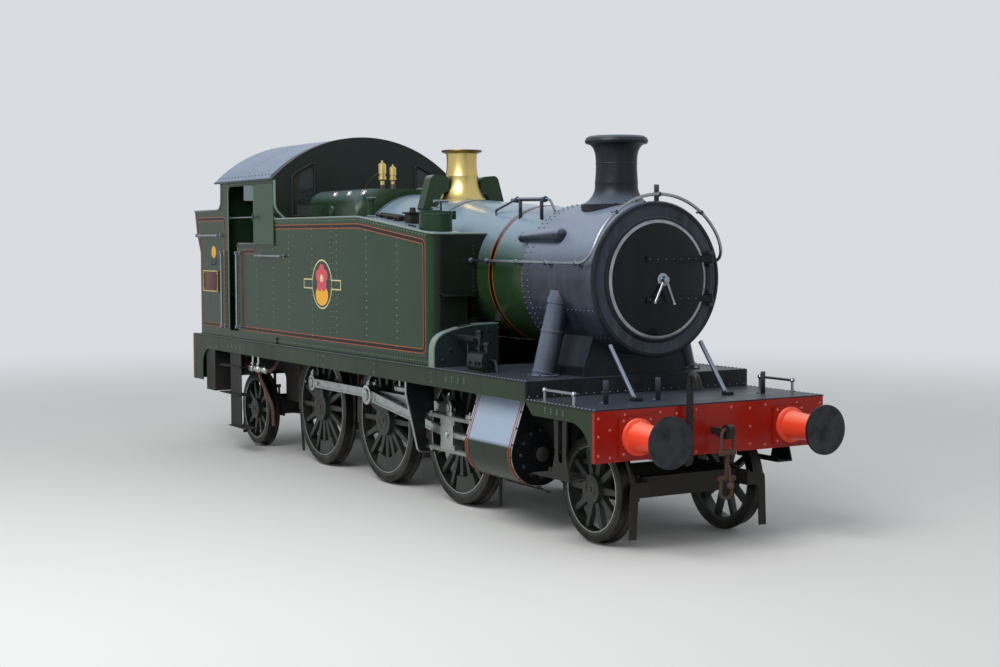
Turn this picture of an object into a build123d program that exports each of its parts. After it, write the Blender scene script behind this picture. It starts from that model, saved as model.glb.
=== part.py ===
from build123d import *
import os
from math import cos, radians, sin, sqrt

# A side-tank steam locomotive with a leading truck, six coupled wheels and a trailing truck.
# Millimetres. X points to the chimney end, Y to the left, Z up. Heights are measured
# from the top of the rail. save() lifts each piece so that the wheel flanges end at zero.

# Wheels and axles
FLANGE_DEPTH = 28
COUPLED_RADIUS = 705
SMALL_RADIUS = 482.5
TYRE_INNER_Y = 680
TYRE_OUTER_Y = 820
DRIVING_X = 20
COUPLED_STEP = 1752.5
LEADING_X = DRIVING_X + COUPLED_STEP + 2488
TRAILING_X = DRIVING_X - COUPLED_STEP - 2186
AXLE_RADIUS = 95
SMALL_AXLE_RADIUS = 80
CRANK = 305
RIGHT_CRANK_ANGLE = -11.5
LEFT_CRANK_ANGLE = RIGHT_CRANK_ANGLE - 90
PIN_RADIUS = 62
PIN_END_Y = 938
TURNING_GAP = 1
LIFT_GAP = 6

# Frames, beams and running plates
FRAME_OUTER_Y = 620
FRAME_PLATE = 28
SLOT_HALF = 130
SLOT_TOP = 840
FOOT_HALF = 1310
FOOT_TOP = 1473
FOOT_PLATE = 12
FRONT_TOP = 1308
STEP_X = 3887
BEAM_X = 5023
BEAM_PLATE = 40
BEAM_BOTTOM = 843
BUFFER_Y = 870
BUFFER_Z = 1054
BUFFER_LENGTH = 521
VALANCE_Y = 1302
VALANCE_BOTTOM = 1283
LEADING_PIVOT_X = 2700
TRAILING_PIVOT_X = -2640
GUARD_REACH = 560

# Boiler, firebox and smokebox
BOILER_FRONT_X = 2880
BOILER_FRONT_RADIUS = 690
BOILER_FRONT_Z = 2399
BOILER_REAR_X = -700
BOILER_REAR_RADIUS = 808
BOILER_REAR_Z = 2512
FIREBOX_REAR_X = -2480
FIREBOX_HALF = 800
FIREBOX_FOOT_HALF = 560
FIREBOX_BOTTOM = 1150
FIREBOX_TOP = 3385
SMOKEBOX_X = 4152
SMOKEBOX_RADIUS = 730
SMOKEBOX_SHELL = 18
DOOR_RADIUS = 560
DOOR_HINGE_X = 4190
DOOR_HINGE_Y = 612
CHIMNEY_X = 3480
CHIMNEY_TOP = 3785
VALVE_X = 390

# Side tanks, cab and bunker
BODY_HALF = 1256
SHEET = 12
TANK_INNER_Y = 830
TANK_TOP = 3035
TANK_FRONT_TOP = 2841
TANK_FRONT_X = 1978
TANK_SLOPE_X = 253
FILLER_X = 1620
FILLER_Y = 1010
LID_HINGE_Y = 806
LID_HINGE_Z = 3068
FILLER_RADIUS = 176
FILLER_TOP = 3050
CAB_FRONT_X = -2128
CAB_BACK_X = -3960
BUNKER_X = -5013
BUNKER_TOP = 3174
FLOOR_TOP = 1574
ROOF_APEX = 4080
EAVE_HALF = 1275
EAVE_Z = 3545
ROOF_SHEET = 14
ROOF_REAR_X = -4166
ROOF_FRONT_X = -2222

# Cylinders and motion
MOTION_Y = 988
CYLINDER_Z = 750
CYLINDER_REAR_X = 2726
CYLINDER_FRONT_X = 3624
CLADDING_RADIUS = 309
ROD_LENGTH = 1930
SLIDE_BAR_REAR_X = 1430
SLIDE_GAP = 155
PISTON_ROD_RADIUS = 38
CROSSHEAD_PIN_RADIUS = 25

ROOF_RADIUS = (EAVE_HALF**2 + (ROOF_APEX - EAVE_Z) ** 2) / (2 * (ROOF_APEX - EAVE_Z))
ROOF_CENTRE_Z = ROOF_APEX - ROOF_RADIUS


# Basic shapes
def block(x0, x1, y0, y1, z0, z1):
    middle = ((x0 + x1) / 2, (y0 + y1) / 2, (z0 + z1) / 2)
    return Pos(*middle) * Box(abs(x1 - x0), abs(y1 - y0), abs(z1 - z0))


def bar(start, end, radius):
    run = Vector(*end) - Vector(*start)
    seat = Plane(origin=start, z_dir=run)
    return seat * Cylinder(radius, run.length, align=(Align.CENTER, Align.CENTER, Align.MIN))


def prism(points, radii, travel):
    edge = FilletPolyline(*points, radius=radii, close=True)
    return extrude(make_face(edge), amount=Vector(*travel).length, dir=travel)


def side_plate(corners, y0, y1):
    # corners are (x, z, corner radius)
    points = [(x, y0, z) for x, z, r in corners]
    return prism(points, [r for x, z, r in corners], (0, y1 - y0, 0))


def cross_plate(corners, x0, x1):
    # corners are (y, z, corner radius)
    points = [(x0, y, z) for y, z, r in corners]
    return prism(points, [r for y, z, r in corners], (x1 - x0, 0, 0))


def floor_plate(corners, z0, z1):
    # corners are (x, y, corner radius)
    points = [(x, y, z0) for x, y, r in corners]
    return prism(points, [r for x, y, r in corners], (0, 0, z1 - z0))


def turned(profile, arc=360):
    # profile is (radius, y), turned about the wheel's own axis
    face = make_face(Polyline(*[(r, y, 0) for r, y in profile], close=True))
    return revolve(face, Axis.Y, arc)


def left_of(shape):
    return mirror(shape, about=Plane.XZ)


def both_sides(shape):
    return [shape, left_of(shape)]


def mirrored_corners(corners):
    # an outline given for positive y, closed by its own mirror image
    return corners + [(-y, z, r) for y, z, r in reversed(corners)]


def save(name, shapes):
    solids = [solid for shape in shapes for solid in (Pos(0, 0, FLANGE_DEPTH) * shape).solids()]
    export_step(Compound(solids), f"parts/{name}.step")


def crank_pin(angle):
    return DRIVING_X + CRANK * sin(radians(angle)), COUPLED_RADIUS + CRANK * cos(radians(angle))


# Frames
def main_frames():
    bottom = 480
    outline = [
        (-BEAM_X + BEAM_PLATE, FOOT_TOP - FOOT_PLATE, 0),
        (STEP_X, FOOT_TOP - FOOT_PLATE, 0),
        (STEP_X, FRONT_TOP - FOOT_PLATE, 0),
        (BEAM_X - BEAM_PLATE, FRONT_TOP - FOOT_PLATE, 0),
        (BEAM_X - BEAM_PLATE, 870, 0),
        (4830, 870, 0),
        (4830, 1015, 60),
        (3690, 1015, 120),
        (3690, 560, 0),
        (2600, 560, 60),
        (2560, bottom, 0),
        (-2500, bottom, 0),
        (-2560, 640, 60),
        (-3330, 640, 0),
        (-3330, 1015, 120),
        (-4490, 1015, 60),
        (-4490, 870, 0),
        (-BEAM_X + BEAM_PLATE, 870, 0),
    ]
    plate = side_plate(outline, -FRAME_OUTER_Y, -FRAME_OUTER_Y + FRAME_PLATE)
    for step in (-1, 0, 1):
        x = DRIVING_X + step * COUPLED_STEP
        plate -= block(x - SLOT_HALF, x + SLOT_HALF, -700, -500, bottom - 10, SLOT_TOP)
    return both_sides(plate)


def frame_stretchers():
    # plates that tie the frames together: x, bottom, top
    stretchers = [
        (-4700, 900, 1440),
        (-2600, 520, 1440),
        (-870, 560, 1120),
        (880, 560, 1440),
        (2740, 520, 1440),
        (3860, 1050, 1290),
    ]
    pivots = {2740: LEADING_PIVOT_X, -2600: TRAILING_PIVOT_X}
    inner = FRAME_OUTER_Y - FRAME_PLATE
    plates = []
    for x, z0, z1 in stretchers:
        plate = block(x - 12, x + 12, -inner, inner, z0, z1)
        if x in pivots:
            pivot = pivots[x]
            plate += block(min(pivot - 70, x), max(pivot + 70, x), -inner, inner, 520, 550)
            plate += bar((pivot, 0, 400), (pivot, 0, 520), 50)
        plates.append(plate)
    return plates


def coupled_axleboxes():
    boxes = []
    for step in (-1, 0, 1):
        x = DRIVING_X + step * COUPLED_STEP
        box = block(x - SLOT_HALF, x + SLOT_HALF, -FRAME_OUTER_Y - 30, -FRAME_OUTER_Y + 58, 560, SLOT_TOP)
        box -= bar((x, -700, COUPLED_RADIUS), (x, -500, COUPLED_RADIUS), AXLE_RADIUS + TURNING_GAP)
        boxes += both_sides(box)
    return boxes


def running_plates():
    rear = -BEAM_X + BEAM_PLATE
    z0, z1 = FOOT_TOP - FOOT_PLATE, FOOT_TOP
    inner, joint = 700, 1
    plates = both_sides(block(rear, STEP_X, -FOOT_HALF, -inner, z0, z1))
    for x0, x1 in ((rear, -3000), (2100, STEP_X)):
        plates.append(block(x0, x1, -inner + joint, inner - joint, z0, z1))
    return plates


def front_platform():
    deck = block(STEP_X, BEAM_X, -FOOT_HALF, FOOT_HALF, FRONT_TOP - FOOT_PLATE, FRONT_TOP)
    riser = block(STEP_X, STEP_X + FOOT_PLATE, -FOOT_HALF, FOOT_HALF, FRONT_TOP, FOOT_TOP)
    return [deck + riser]


def valances():
    top = FOOT_TOP - FOOT_PLATE
    front_top = FRONT_TOP - FOOT_PLATE
    rear = -BEAM_X + BEAM_PLATE
    front = BEAM_X - BEAM_PLATE
    main = [
        (rear, top, 0),
        (STEP_X, top, 0),
        (STEP_X, VALANCE_BOTTOM, 0),
        (-4650, VALANCE_BOTTOM, 230),
        (-4650, BEAM_BOTTOM, 0),
        (rear, BEAM_BOTTOM, 0),
    ]
    low = [
        (STEP_X + 3, front_top, 0),
        (front, front_top, 0),
        (front, BEAM_BOTTOM, 0),
        (front - 20, BEAM_BOTTOM, 0),
        (front - 20, 1170, 320),
        (4000, 1170, 90),
        (STEP_X + 3, 1280, 0),
    ]
    pieces = []
    for outline in (main, low):
        pieces += both_sides(side_plate(outline, -VALANCE_Y, -VALANCE_Y + FOOT_PLATE))
    return pieces


def buffer_beam(front):
    top = FRONT_TOP - FOOT_PLATE if front else FOOT_TOP - FOOT_PLATE
    beam = block(BEAM_X - BEAM_PLATE, BEAM_X, -VALANCE_Y, VALANCE_Y, BEAM_BOTTOM, top)
    return [beam if front else mirror(beam, about=Plane.YZ)]


# Buffers and drawgear
def buffer_parts():
    # profiles are (radius, distance in front of the beam)
    body = [(0, 28), (165, 28), (165, 60), (135, 75), (112, 370), (132, 370), (132, 395), (0, 395)]
    head = [(0, 395), (70, 395), (70, 480), (120, BUFFER_LENGTH - 22), (228, BUFFER_LENGTH - 22)]
    head += [(228, BUFFER_LENGTH), (0, BUFFER_LENGTH)]
    housings = []
    heads = []
    for side in (-1, 1):
        y = side * BUFFER_Y
        foot = block(BEAM_X, BEAM_X + 28, y - 175, y + 175, BUFFER_Z - 175, BUFFER_Z + 175)
        axis = Axis((BEAM_X, y, BUFFER_Z), (1, 0, 0))
        turned_pair = []
        for profile in (body, head):
            points = [(BEAM_X + x, y, BUFFER_Z + r) for r, x in profile]
            turned_pair.append(revolve(make_face(Polyline(*points, close=True)), axis))
        housings.append(foot + turned_pair[0])
        heads.append(turned_pair[1])
    housings += [mirror(shape, about=Plane.YZ) for shape in housings]
    heads += [mirror(shape, about=Plane.YZ) for shape in heads]
    return housings, heads


def drawhooks():
    x = BEAM_X
    hook = [
        (x, 1085, 0),
        (x + 150, 1085, 20),
        (x + 175, 1125, 15),
        (x + 260, 1125, 40),
        (x + 275, 1010, 60),
        (x + 150, 985, 50),
        (x + 60, 1025, 0),
        (x, 1025, 0),
    ]
    slot = [(x + 178, 1140, 0), (x + 212, 1140, 0), (x + 212, 1068, 16), (x + 178, 1068, 16)]
    front = side_plate(hook, -30, 30) - side_plate(slot, -40, 40)
    return [front, mirror(front, about=Plane.YZ)]


# Boiler
def barrel(extra):
    # a cone about a line that falls to the front, cut off square to the rails
    rear = Vector(BOILER_REAR_X, 0, BOILER_REAR_Z)
    run = Vector(BOILER_FRONT_X, 0, BOILER_FRONT_Z) - rear
    taper = (BOILER_FRONT_RADIUS - BOILER_REAR_RADIUS) / run.length
    over = 60
    start = Plane(origin=rear - run.normalized() * over, z_dir=run)
    radii = [BOILER_REAR_RADIUS + extra - taper * over, BOILER_FRONT_RADIUS + extra + taper * over]
    cone = start * Cone(*radii, run.length + 2 * over, align=(Align.CENTER, Align.CENTER, Align.MIN))
    return cone & block(BOILER_REAR_X, BOILER_FRONT_X, -1000, 1000, 1500, 3500)


def firebox_outline(gap):
    return [
        (FIREBOX_FOOT_HALF + gap, FIREBOX_BOTTOM - gap, 0),
        (FIREBOX_FOOT_HALF + gap, 1800, 150),
        (FIREBOX_HALF + gap, 2300, 200),
        (FIREBOX_HALF + gap, FIREBOX_TOP + gap, 230),
    ]


def firebox():
    box = cross_plate(mirrored_corners(firebox_outline(0)), FIREBOX_REAR_X, BOILER_REAR_X)
    # the throat plate is flanged round from the square casing to the round barrel
    x, z, r = BOILER_REAR_X, BOILER_REAR_Z, BOILER_REAR_RADIUS + 14
    depth, rise = 250, 290
    edge = Polyline((x + 1, 0, z), (x + 1, 0, z + r), (x, 0, z + r))
    edge += ThreePointArc((x, 0, z + r), (x - 0.29 * depth, 0, z + r + 0.71 * rise), (x - depth, 0, z + r + rise))
    edge += Polyline((x - depth, 0, z + r + rise), (x - depth, 0, z), (x + 1, 0, z))
    shoulder = revolve(make_face(edge), Axis((x, 0, z), (1, 0, 0)))
    return [box - (block(x - depth, x + 1, -FIREBOX_HALF - 50, FIREBOX_HALF + 50, z, FIREBOX_TOP + 50) - shoulder)]


def smokebox_core(radius, x0, x1):
    return bar((x0, 0, BOILER_FRONT_Z), (x1, 0, BOILER_FRONT_Z), radius)


def smokebox():
    shell = smokebox_core(SMOKEBOX_RADIUS, BOILER_FRONT_X, SMOKEBOX_X)
    hollow = SMOKEBOX_RADIUS - SMOKEBOX_SHELL
    shell -= smokebox_core(hollow, BOILER_FRONT_X + 20, SMOKEBOX_X - 14)
    shell -= smokebox_core(DOOR_RADIUS - 30, SMOKEBOX_X - 50, SMOKEBOX_X + 50)
    pin_ends = (BOILER_FRONT_Z - 265, BOILER_FRONT_Z + 265)
    shell += bar((DOOR_HINGE_X, DOOR_HINGE_Y, pin_ends[0]), (DOOR_HINGE_X, DOOR_HINGE_Y, pin_ends[1]), 12)
    for z in (-250, -130, 130, 250):
        centre = BOILER_FRONT_Z + z
        shell += block(SMOKEBOX_X - 5, DOOR_HINGE_X, DOOR_HINGE_Y - 12, DOOR_HINGE_Y + 20, centre - 15, centre + 15)
        shell += bar((DOOR_HINGE_X, DOOR_HINGE_Y, centre - 15), (DOOR_HINGE_X, DOOR_HINGE_Y, centre + 15), 24)
    return [shell]


def smokebox_door():
    z = BOILER_FRONT_Z
    back = SMOKEBOX_X + LIFT_GAP
    edge = Polyline((back, 0, z), (back, 0, z + DOOR_RADIUS), (back + 14, 0, z + DOOR_RADIUS))
    dish = ThreePointArc((back + 14, 0, z + DOOR_RADIUS), (back + 62, 0, z + 300), (back + 80, 0, z))
    close = Line((back + 80, 0, z), (back, 0, z))
    door = revolve(make_face(edge + dish + close), Axis((0, 0, z), (1, 0, 0)))
    for side in (-1, 1):
        strap_z = z + side * 190
        strap = block(back, back + 84, -180, 440, strap_z - 32, strap_z + 32)
        strap += block(back + 6, back + 44, 430, DOOR_HINGE_Y, strap_z - 32, strap_z + 32)
        strap += bar((DOOR_HINGE_X, DOOR_HINGE_Y, strap_z - 40), (DOOR_HINGE_X, DOOR_HINGE_Y, strap_z + 40), 24)
        strap -= bar((DOOR_HINGE_X, DOOR_HINGE_Y, strap_z - 50), (DOOR_HINGE_X, DOOR_HINGE_Y, strap_z + 50), 13)
        door += strap
    door += bar((back + 70, 0, z), (back + 150, 0, z), 24)
    return [door]


def smokebox_saddle():
    corners = [(600, FOOT_TOP, 0), (600, 1560, 60), (470, 1900, 0)]
    saddle = cross_plate(mirrored_corners(corners), 3150, 3800)
    return [saddle - smokebox_core(SMOKEBOX_RADIUS, 3000, 4000)]


def upright_turned(x, pieces):
    # pieces is a chain of lines and arcs in the XZ plane, closed on the axis
    return revolve(make_face(pieces), Axis((x, 0, 0), (0, 0, 1)))


def chimney():
    x = CHIMNEY_X
    low = 2980
    chain = Polyline((x + 160, 0, low), (x + 345, 0, low), (x + 345, 0, 3120))
    chain += ThreePointArc((x + 345, 0, 3120), (x + 248, 0, 3190), (x + 212, 0, 3330))
    chain += ThreePointArc((x + 212, 0, 3330), (x + 202, 0, 3500), (x + 215, 0, 3690))
    rim = [(215, 3690), (300, 3712), (312, 3735), (300, 3765), (270, CHIMNEY_TOP), (172, CHIMNEY_TOP), (160, low)]
    chain += Polyline(*[(x + r, 0, z) for r, z in rim])
    shape = upright_turned(x, chain)
    return [shape - smokebox_core(SMOKEBOX_RADIUS, 2900, 4100)]


def safety_valve_bonnet():
    x = VALVE_X
    low = 3120
    chain = Polyline((x, 0, low), (x + 275, 0, low), (x + 275, 0, 3240))
    chain += ThreePointArc((x + 275, 0, 3240), (x + 216, 0, 3330), (x + 188, 0, 3500))
    chain += ThreePointArc((x + 188, 0, 3500), (x + 172, 0, 3640), (x + 178, 0, 3755))
    top = [(178, 3755), (228, 3775), (228, 3792), (150, 3792), (150, 3700), (0, 3700), (0, low)]
    chain += Polyline(*[(x + r, 0, z) for r, z in top])
    return [upright_turned(x, chain) - barrel(0)]


def top_feed_casings():
    corners = [
        (-205, 3330, 0),
        (-205, 3490, 60),
        (-430, 3515, 70),
        (-545, 3120, 20),
        (-390, 3050, 20),
        (-300, 3300, 90),
    ]
    casing = cross_plate(corners, VALVE_X - 75, VALVE_X + 75) - barrel(0)
    return both_sides(casing - safety_valve_bonnet()[0])


# Side tanks
def side_tank():
    profile = [
        (CAB_FRONT_X, FOOT_TOP, 0),
        (TANK_FRONT_X, FOOT_TOP, 0),
        (TANK_FRONT_X, TANK_FRONT_TOP, 0),
        (TANK_SLOPE_X, TANK_TOP, 0),
        (CAB_FRONT_X, TANK_TOP, 0),
    ]
    tank = side_plate(profile, -BODY_HALF, -TANK_INNER_Y)
    corner = tank.edges().filter_by(Axis.Z).sort_by(Axis.X)[-2:].sort_by(Axis.Y)[0]
    tank = fillet(corner, 120)
    tank -= block(CAB_FRONT_X, TANK_FRONT_X + 1, -BODY_HALF - 1, -BODY_HALF + 16, FOOT_TOP - 1, 1560)
    closing = block(TANK_FRONT_X - 40, TANK_FRONT_X, -TANK_INNER_Y, -480, 2230, TANK_FRONT_TOP)
    return tank + (closing - barrel(3))


def filler_lid():
    x, y = FILLER_X, -FILLER_Y
    low = FILLER_TOP + LIFT_GAP
    lid = bar((x, y, low), (x, y, low + 20), FILLER_RADIUS + 8)
    lid += bar((x, y, low + 8), (x, y, low + 32), 60)
    lid += block(x - 30, x + 30, y, -LID_HINGE_Y, low + 2, low + 20)
    lid += bar((x - 30, -LID_HINGE_Y, LID_HINGE_Z), (x + 30, -LID_HINGE_Y, LID_HINGE_Z), 17)
    lid -= bar((x - 40, -LID_HINGE_Y, LID_HINGE_Z), (x + 40, -LID_HINGE_Y, LID_HINGE_Z), 8 + TURNING_GAP)
    lid += bar((x + 120, y, low + 8), (x + 120, y, 3180), 11)
    lid += bar((x + 120, y - 60, 3180), (x + 120, y + 60, 3180), 11)
    return lid


def filler_neck(tank):
    x, y = FILLER_X, -FILLER_Y
    neck = bar((x, y, 2800), (x, y, FILLER_TOP), FILLER_RADIUS)
    for side in (-1, 1):
        near, far = x + side * 36, x + side * 50
        neck += block(near, far, y + 80, -LID_HINGE_Y + 14, FILLER_TOP - 60, FILLER_TOP - 5)
        neck += block(near, far, -LID_HINGE_Y - 14, -LID_HINGE_Y + 14, FILLER_TOP - 10, LID_HINGE_Z + 14)
    neck += bar((x - 50, -LID_HINGE_Y, LID_HINGE_Z), (x + 50, -LID_HINGE_Y, LID_HINGE_Z), 8)
    neck -= bar((x, y, 2950), (x, y, FILLER_TOP + 10), FILLER_RADIUS - 14)
    return neck - tank


def arched_casings():
    corners = [
        (-1290, FOOT_TOP, 0),
        (-1290, 1790, 260),
        (-900, 1905, 200),
        (-520, 1912, 0),
        (-520, FOOT_TOP, 0),
    ]
    return both_sides(cross_plate(corners, TANK_FRONT_X, TANK_FRONT_X + 107))


# Cab and bunker
def under_roof(x0, x1):
    radius = ROOF_RADIUS - ROOF_SHEET
    return bar((x0, 0, ROOF_CENTRE_Z), (x1, 0, ROOF_CENTRE_Z), radius)


def cab_roof():
    shell = bar((ROOF_REAR_X, 0, ROOF_CENTRE_Z), (ROOF_FRONT_X, 0, ROOF_CENTRE_Z), ROOF_RADIUS)
    # the front hoop stands a little proud of the sheet
    shell += bar((ROOF_FRONT_X, 0, ROOF_CENTRE_Z), (CAB_FRONT_X, 0, ROOF_CENTRE_Z), ROOF_RADIUS + 4)
    shell -= under_roof(ROOF_REAR_X - 10, CAB_FRONT_X + 10)
    return [shell & block(-5000, -2000, -EAVE_HALF, EAVE_HALF, EAVE_Z - 60, ROOF_APEX + 100)]


def cab_side():
    rear, front = CAB_BACK_X - SHEET, CAB_FRONT_X
    sheet = block(rear, front, -BODY_HALF, -BODY_HALF + SHEET, FOOT_TOP, ROOF_APEX)
    doorway = [
        (-3720, FLOOR_TOP, 0),
        (-3391, FLOOR_TOP, 0),
        (-3391, 2736, 30),
        (-2838, 2736, 30),
        (-2838, 3478, 90),
        (-3720, 3478, 90),
    ]
    sheet -= side_plate(doorway, -BODY_HALF - 10, -BODY_HALF + 30)
    return sheet & under_roof(-5100, -2000)


def shutter_runners():
    y = -BODY_HALF - 26
    upper = block(-3740, CAB_FRONT_X, y, -BODY_HALF, 3490, 3504)
    lower = block(-3391, CAB_FRONT_X, y, -BODY_HALF, 2704, 2718)
    return both_sides(upper) + both_sides(lower)


def cab_shutter():
    y = -BODY_HALF - 18
    sheet = block(-2790, -2145, y, y + 12, 2724, 3484)
    sheet += bar((-2715, y, 3069), (-2715, y - 40, 3069), 10)
    sheet += bar((-2715, y - 40, 3020), (-2715, y - 40, 3118), 11)
    return sheet


def cab_front():
    sheet = block(CAB_FRONT_X - SHEET, CAB_FRONT_X, -BODY_HALF + SHEET, BODY_HALF - SHEET, FOOT_TOP, ROOF_APEX)
    sheet &= under_roof(-3000, -2000)
    sheet -= cross_plate(mirrored_corners(firebox_outline(4)), -2200, -2100)
    window = [(-1020, 3070, 60), (-1020, 3590, 90), (-715, 3750, 90), (-715, 3070, 60)]
    for shape in both_sides(cross_plate(window, -2200, -2100)):
        sheet -= shape
    return [sheet]


def cab_back():
    half = BODY_HALF - SHEET
    sheet = block(CAB_BACK_X - SHEET, CAB_BACK_X, -half, half, FLOOR_TOP, ROOF_APEX)
    sheet &= under_roof(-4200, -3800)
    window = [(-960, 3290, 60), (-960, 3620, 60), (-420, 3620, 60), (-420, 3290, 60)]
    for shape in both_sides(cross_plate(window, -4100, -3800)):
        sheet -= shape
    return [sheet]


def cab_floor():
    half = BODY_HALF - SHEET
    floor = block(CAB_BACK_X - SHEET, CAB_FRONT_X - SHEET, -half, half, FOOT_TOP, FLOOR_TOP)
    return [floor - block(-2545, -2000, -FIREBOX_HALF, FIREBOX_HALF, 1400, 1700)]


def backhead():
    corners = [(540, FLOOR_TOP, 0), (540, 1900, 120), (700, 2350, 180), (700, 3290, 210)]
    plate = cross_plate(mirrored_corners(corners), FIREBOX_REAR_X - 60, FIREBOX_REAR_X)
    door = floor_plate([(-2600, -190, 0), (-2540, -190, 0), (-2540, 190, 0), (-2600, 190, 0)], 2020, 2300)
    return [plate + door]


def bunker():
    outer = [
        (CAB_BACK_X - SHEET, FOOT_TOP, 0),
        (-4800, FOOT_TOP, 0),
        (-4800, 2600, 80),
        (-4937, 2866, 80),
        (BUNKER_X, BUNKER_TOP, 0),
        (CAB_BACK_X - SHEET, BUNKER_TOP, 0),
    ]
    inner = [
        (CAB_BACK_X - 2 * SHEET, 2000, 0),
        (-4788, 1900, 0),
        (-4788, 2603, 80),
        (-4925, 2870, 80),
        (BUNKER_X + SHEET + 2, 3240, 0),
        (CAB_BACK_X - 2 * SHEET, 3240, 0),
    ]
    shape = side_plate(outer, -BODY_HALF, BODY_HALF)
    shape -= side_plate(inner, -BODY_HALF + SHEET, BODY_HALF - SHEET)
    wing = [
        (CAB_BACK_X - SHEET, BUNKER_TOP, 0),
        (-4175, BUNKER_TOP, 0),
        (-3990, 3182, 150),
        (-3988, 3560, 0),
        (CAB_BACK_X - SHEET, 3560, 0),
    ]
    for side in both_sides(side_plate(wing, -BODY_HALF, -BODY_HALF + SHEET)):
        shape += side & under_roof(-5000, -3000)
    return [shape]


# Cylinders and motion
def cylinders():
    y, z, r = -MOTION_Y, CYLINDER_Z, CLADDING_RADIUS
    x = CYLINDER_REAR_X
    flat_foot = (x, y - 0.9475 * r, z + 0.32 * r)
    under = (x, y + r * sin(radians(40)), z - r * cos(radians(40)))
    top = FOOT_TOP - FOOT_PLATE
    chain = Polyline(under, (x, -FRAME_OUTER_Y, 600), (x, -FRAME_OUTER_Y, top), (x, -1074, top), flat_foot)
    chain += ThreePointArc(flat_foot, (x, y - r * 0.5, z - r * 0.866), under)
    length = CYLINDER_FRONT_X - CYLINDER_REAR_X
    body = extrude(make_face(chain), amount=length, dir=(1, 0, 0))
    # covers and glands: x0, x1, radius
    discs = [(3600, 3650, 250), (3650, 3680, 95), (2696, 2740, 250), (2620, 2700, 75)]
    for x0, x1, radius in discs:
        body += bar((x0, y, z), (x1, y, z), radius)
    body -= bar((2600, y, z), (2800, y, z), PISTON_ROD_RADIUS)
    return both_sides(body)


def steam_pipes():
    pipe = bar((3475, -640, 2270), (3475, -868, 1400), 112)
    pipe -= smokebox_core(SMOKEBOX_RADIUS, 3000, 4000)
    pipe -= block(3000, 4000, -1500, 0, 1300, FOOT_TOP)
    return both_sides(pipe)


def slide_bars():
    y = -MOTION_Y
    rear, front = SLIDE_BAR_REAR_X, CYLINDER_REAR_X - 30
    upper, lower = CYLINDER_Z + SLIDE_GAP, CYLINDER_Z - SLIDE_GAP
    bars = block(rear, front, y - 33, y + 33, upper, upper + 35)
    bars += block(rear, front, y - 33, y + 33, lower - 35, lower)
    bracket = [
        (-950, FOOT_TOP - FOOT_PLATE, 0),
        (-1285, FOOT_TOP - FOOT_PLATE, 0),
        (-1285, 1150, 60),
        (-1140, 520, 60),
        (-950, 520, 0),
        (-950, 560, 0),
        (-1060, 560, 30),
        (-1060, 940, 30),
        (-950, 940, 0),
    ]
    bars += cross_plate(bracket, rear, rear + 26)
    return both_sides(bars)


def crosshead_x(angle):
    pin_x, pin_z = crank_pin(angle)
    return pin_x + sqrt(ROD_LENGTH**2 - (pin_z - CYLINDER_Z) ** 2)


def crosshead(angle):
    x, y, z = crosshead_x(angle), -MOTION_Y, CYLINDER_Z
    body = block(x - 130, x + 130, y - 40, y + 40, z - 110, z + 110)
    body -= block(x - 140, x + 75, y - 28, y + 28, z - 96, z + 96)
    body += block(x - 150, x + 150, y - 33, y + 33, z + 105, z + SLIDE_GAP)
    body += block(x - 150, x + 150, y - 33, y + 33, z - SLIDE_GAP, z - 105)
    body += bar((x, y - 46, z), (x, y + 40, z), CROSSHEAD_PIN_RADIUS)
    body += bar((x + 125, y, z), (2780, y, z), PISTON_ROD_RADIUS)
    return body


def connecting_rod(angle):
    pin_x, pin_z = crank_pin(angle)
    x, y, z = crosshead_x(angle), -MOTION_Y, CYLINDER_Z
    run = Vector(x - pin_x, 0, z - pin_z)
    along = run.normalized()
    up = Vector(-along.Z, 0, along.X)
    start, end = Vector(pin_x, 0, pin_z), Vector(x, 0, z)

    def web(half_start, half_end, trim, y0, y1):
        a, b = start + along * trim, end - along * trim * 0.6
        points = [a + up * half_start, b + up * half_end, b - up * half_end, a - up * half_start]
        return prism([(p.X, y0, p.Z) for p in points], [0] * 4, (0, y1 - y0, 0))

    rod = web(62, 42, 0, y - 24, y + 24)
    rod -= web(44, 26, 170, y - 30, y - 12)
    rod -= web(44, 26, 170, y + 12, y + 30)
    rod += bar((pin_x, y - 40, pin_z), (pin_x, y + 42, pin_z), 112)
    rod += bar((pin_x, y - 56, pin_z), (pin_x, y - 40, pin_z), 66)
    rod += block(pin_x - 32, pin_x + 32, y - 22, y + 22, pin_z + 100, pin_z + 150)
    rod += bar((x, y - 26, z), (x, y + 26, z), 62)
    return rod - bar((x, y - 60, z), (x, y + 60, z), CROSSHEAD_PIN_RADIUS)


def coupling_rod(angle):
    pin_x, pin_z = crank_pin(angle)
    y0, y1 = -930, -880
    rod = None
    for step in (-1, 1):
        end = pin_x + step * COUPLED_STEP
        web = block(min(pin_x, end), max(pin_x, end), y0, y1, pin_z - 52, pin_z + 52)
        web -= block(min(pin_x, end) + 150, max(pin_x, end) - 150, y0, y0 + 12, pin_z - 32, pin_z + 32)
        rod = web if rod is None else rod + web
    for step in (-1, 0, 1):
        x = pin_x + step * COUPLED_STEP
        rod += bar((x, y0, pin_z), (x, y1, pin_z), 98)
        rod += block(x - 30, x + 30, y0 + 5, y1 - 5, pin_z + 80, pin_z + 140)
    for step in (-1, 0, 1):
        x = pin_x + step * COUPLED_STEP
        rod -= bar((x, y0 - 1, pin_z), (x, y1 + 1, pin_z), PIN_RADIUS + 2)
    return rod


def vacuum_pump():
    y, z = -990, 1140
    pump = bar((690, y, z), (SLIDE_BAR_REAR_X, y, z), 40)
    pump += bar((690, y, z), (716, y, z), 46)
    pump += block(760, 800, y - 30, y + 30, z, FOOT_TOP - FOOT_PLATE)
    return [pump]


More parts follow.
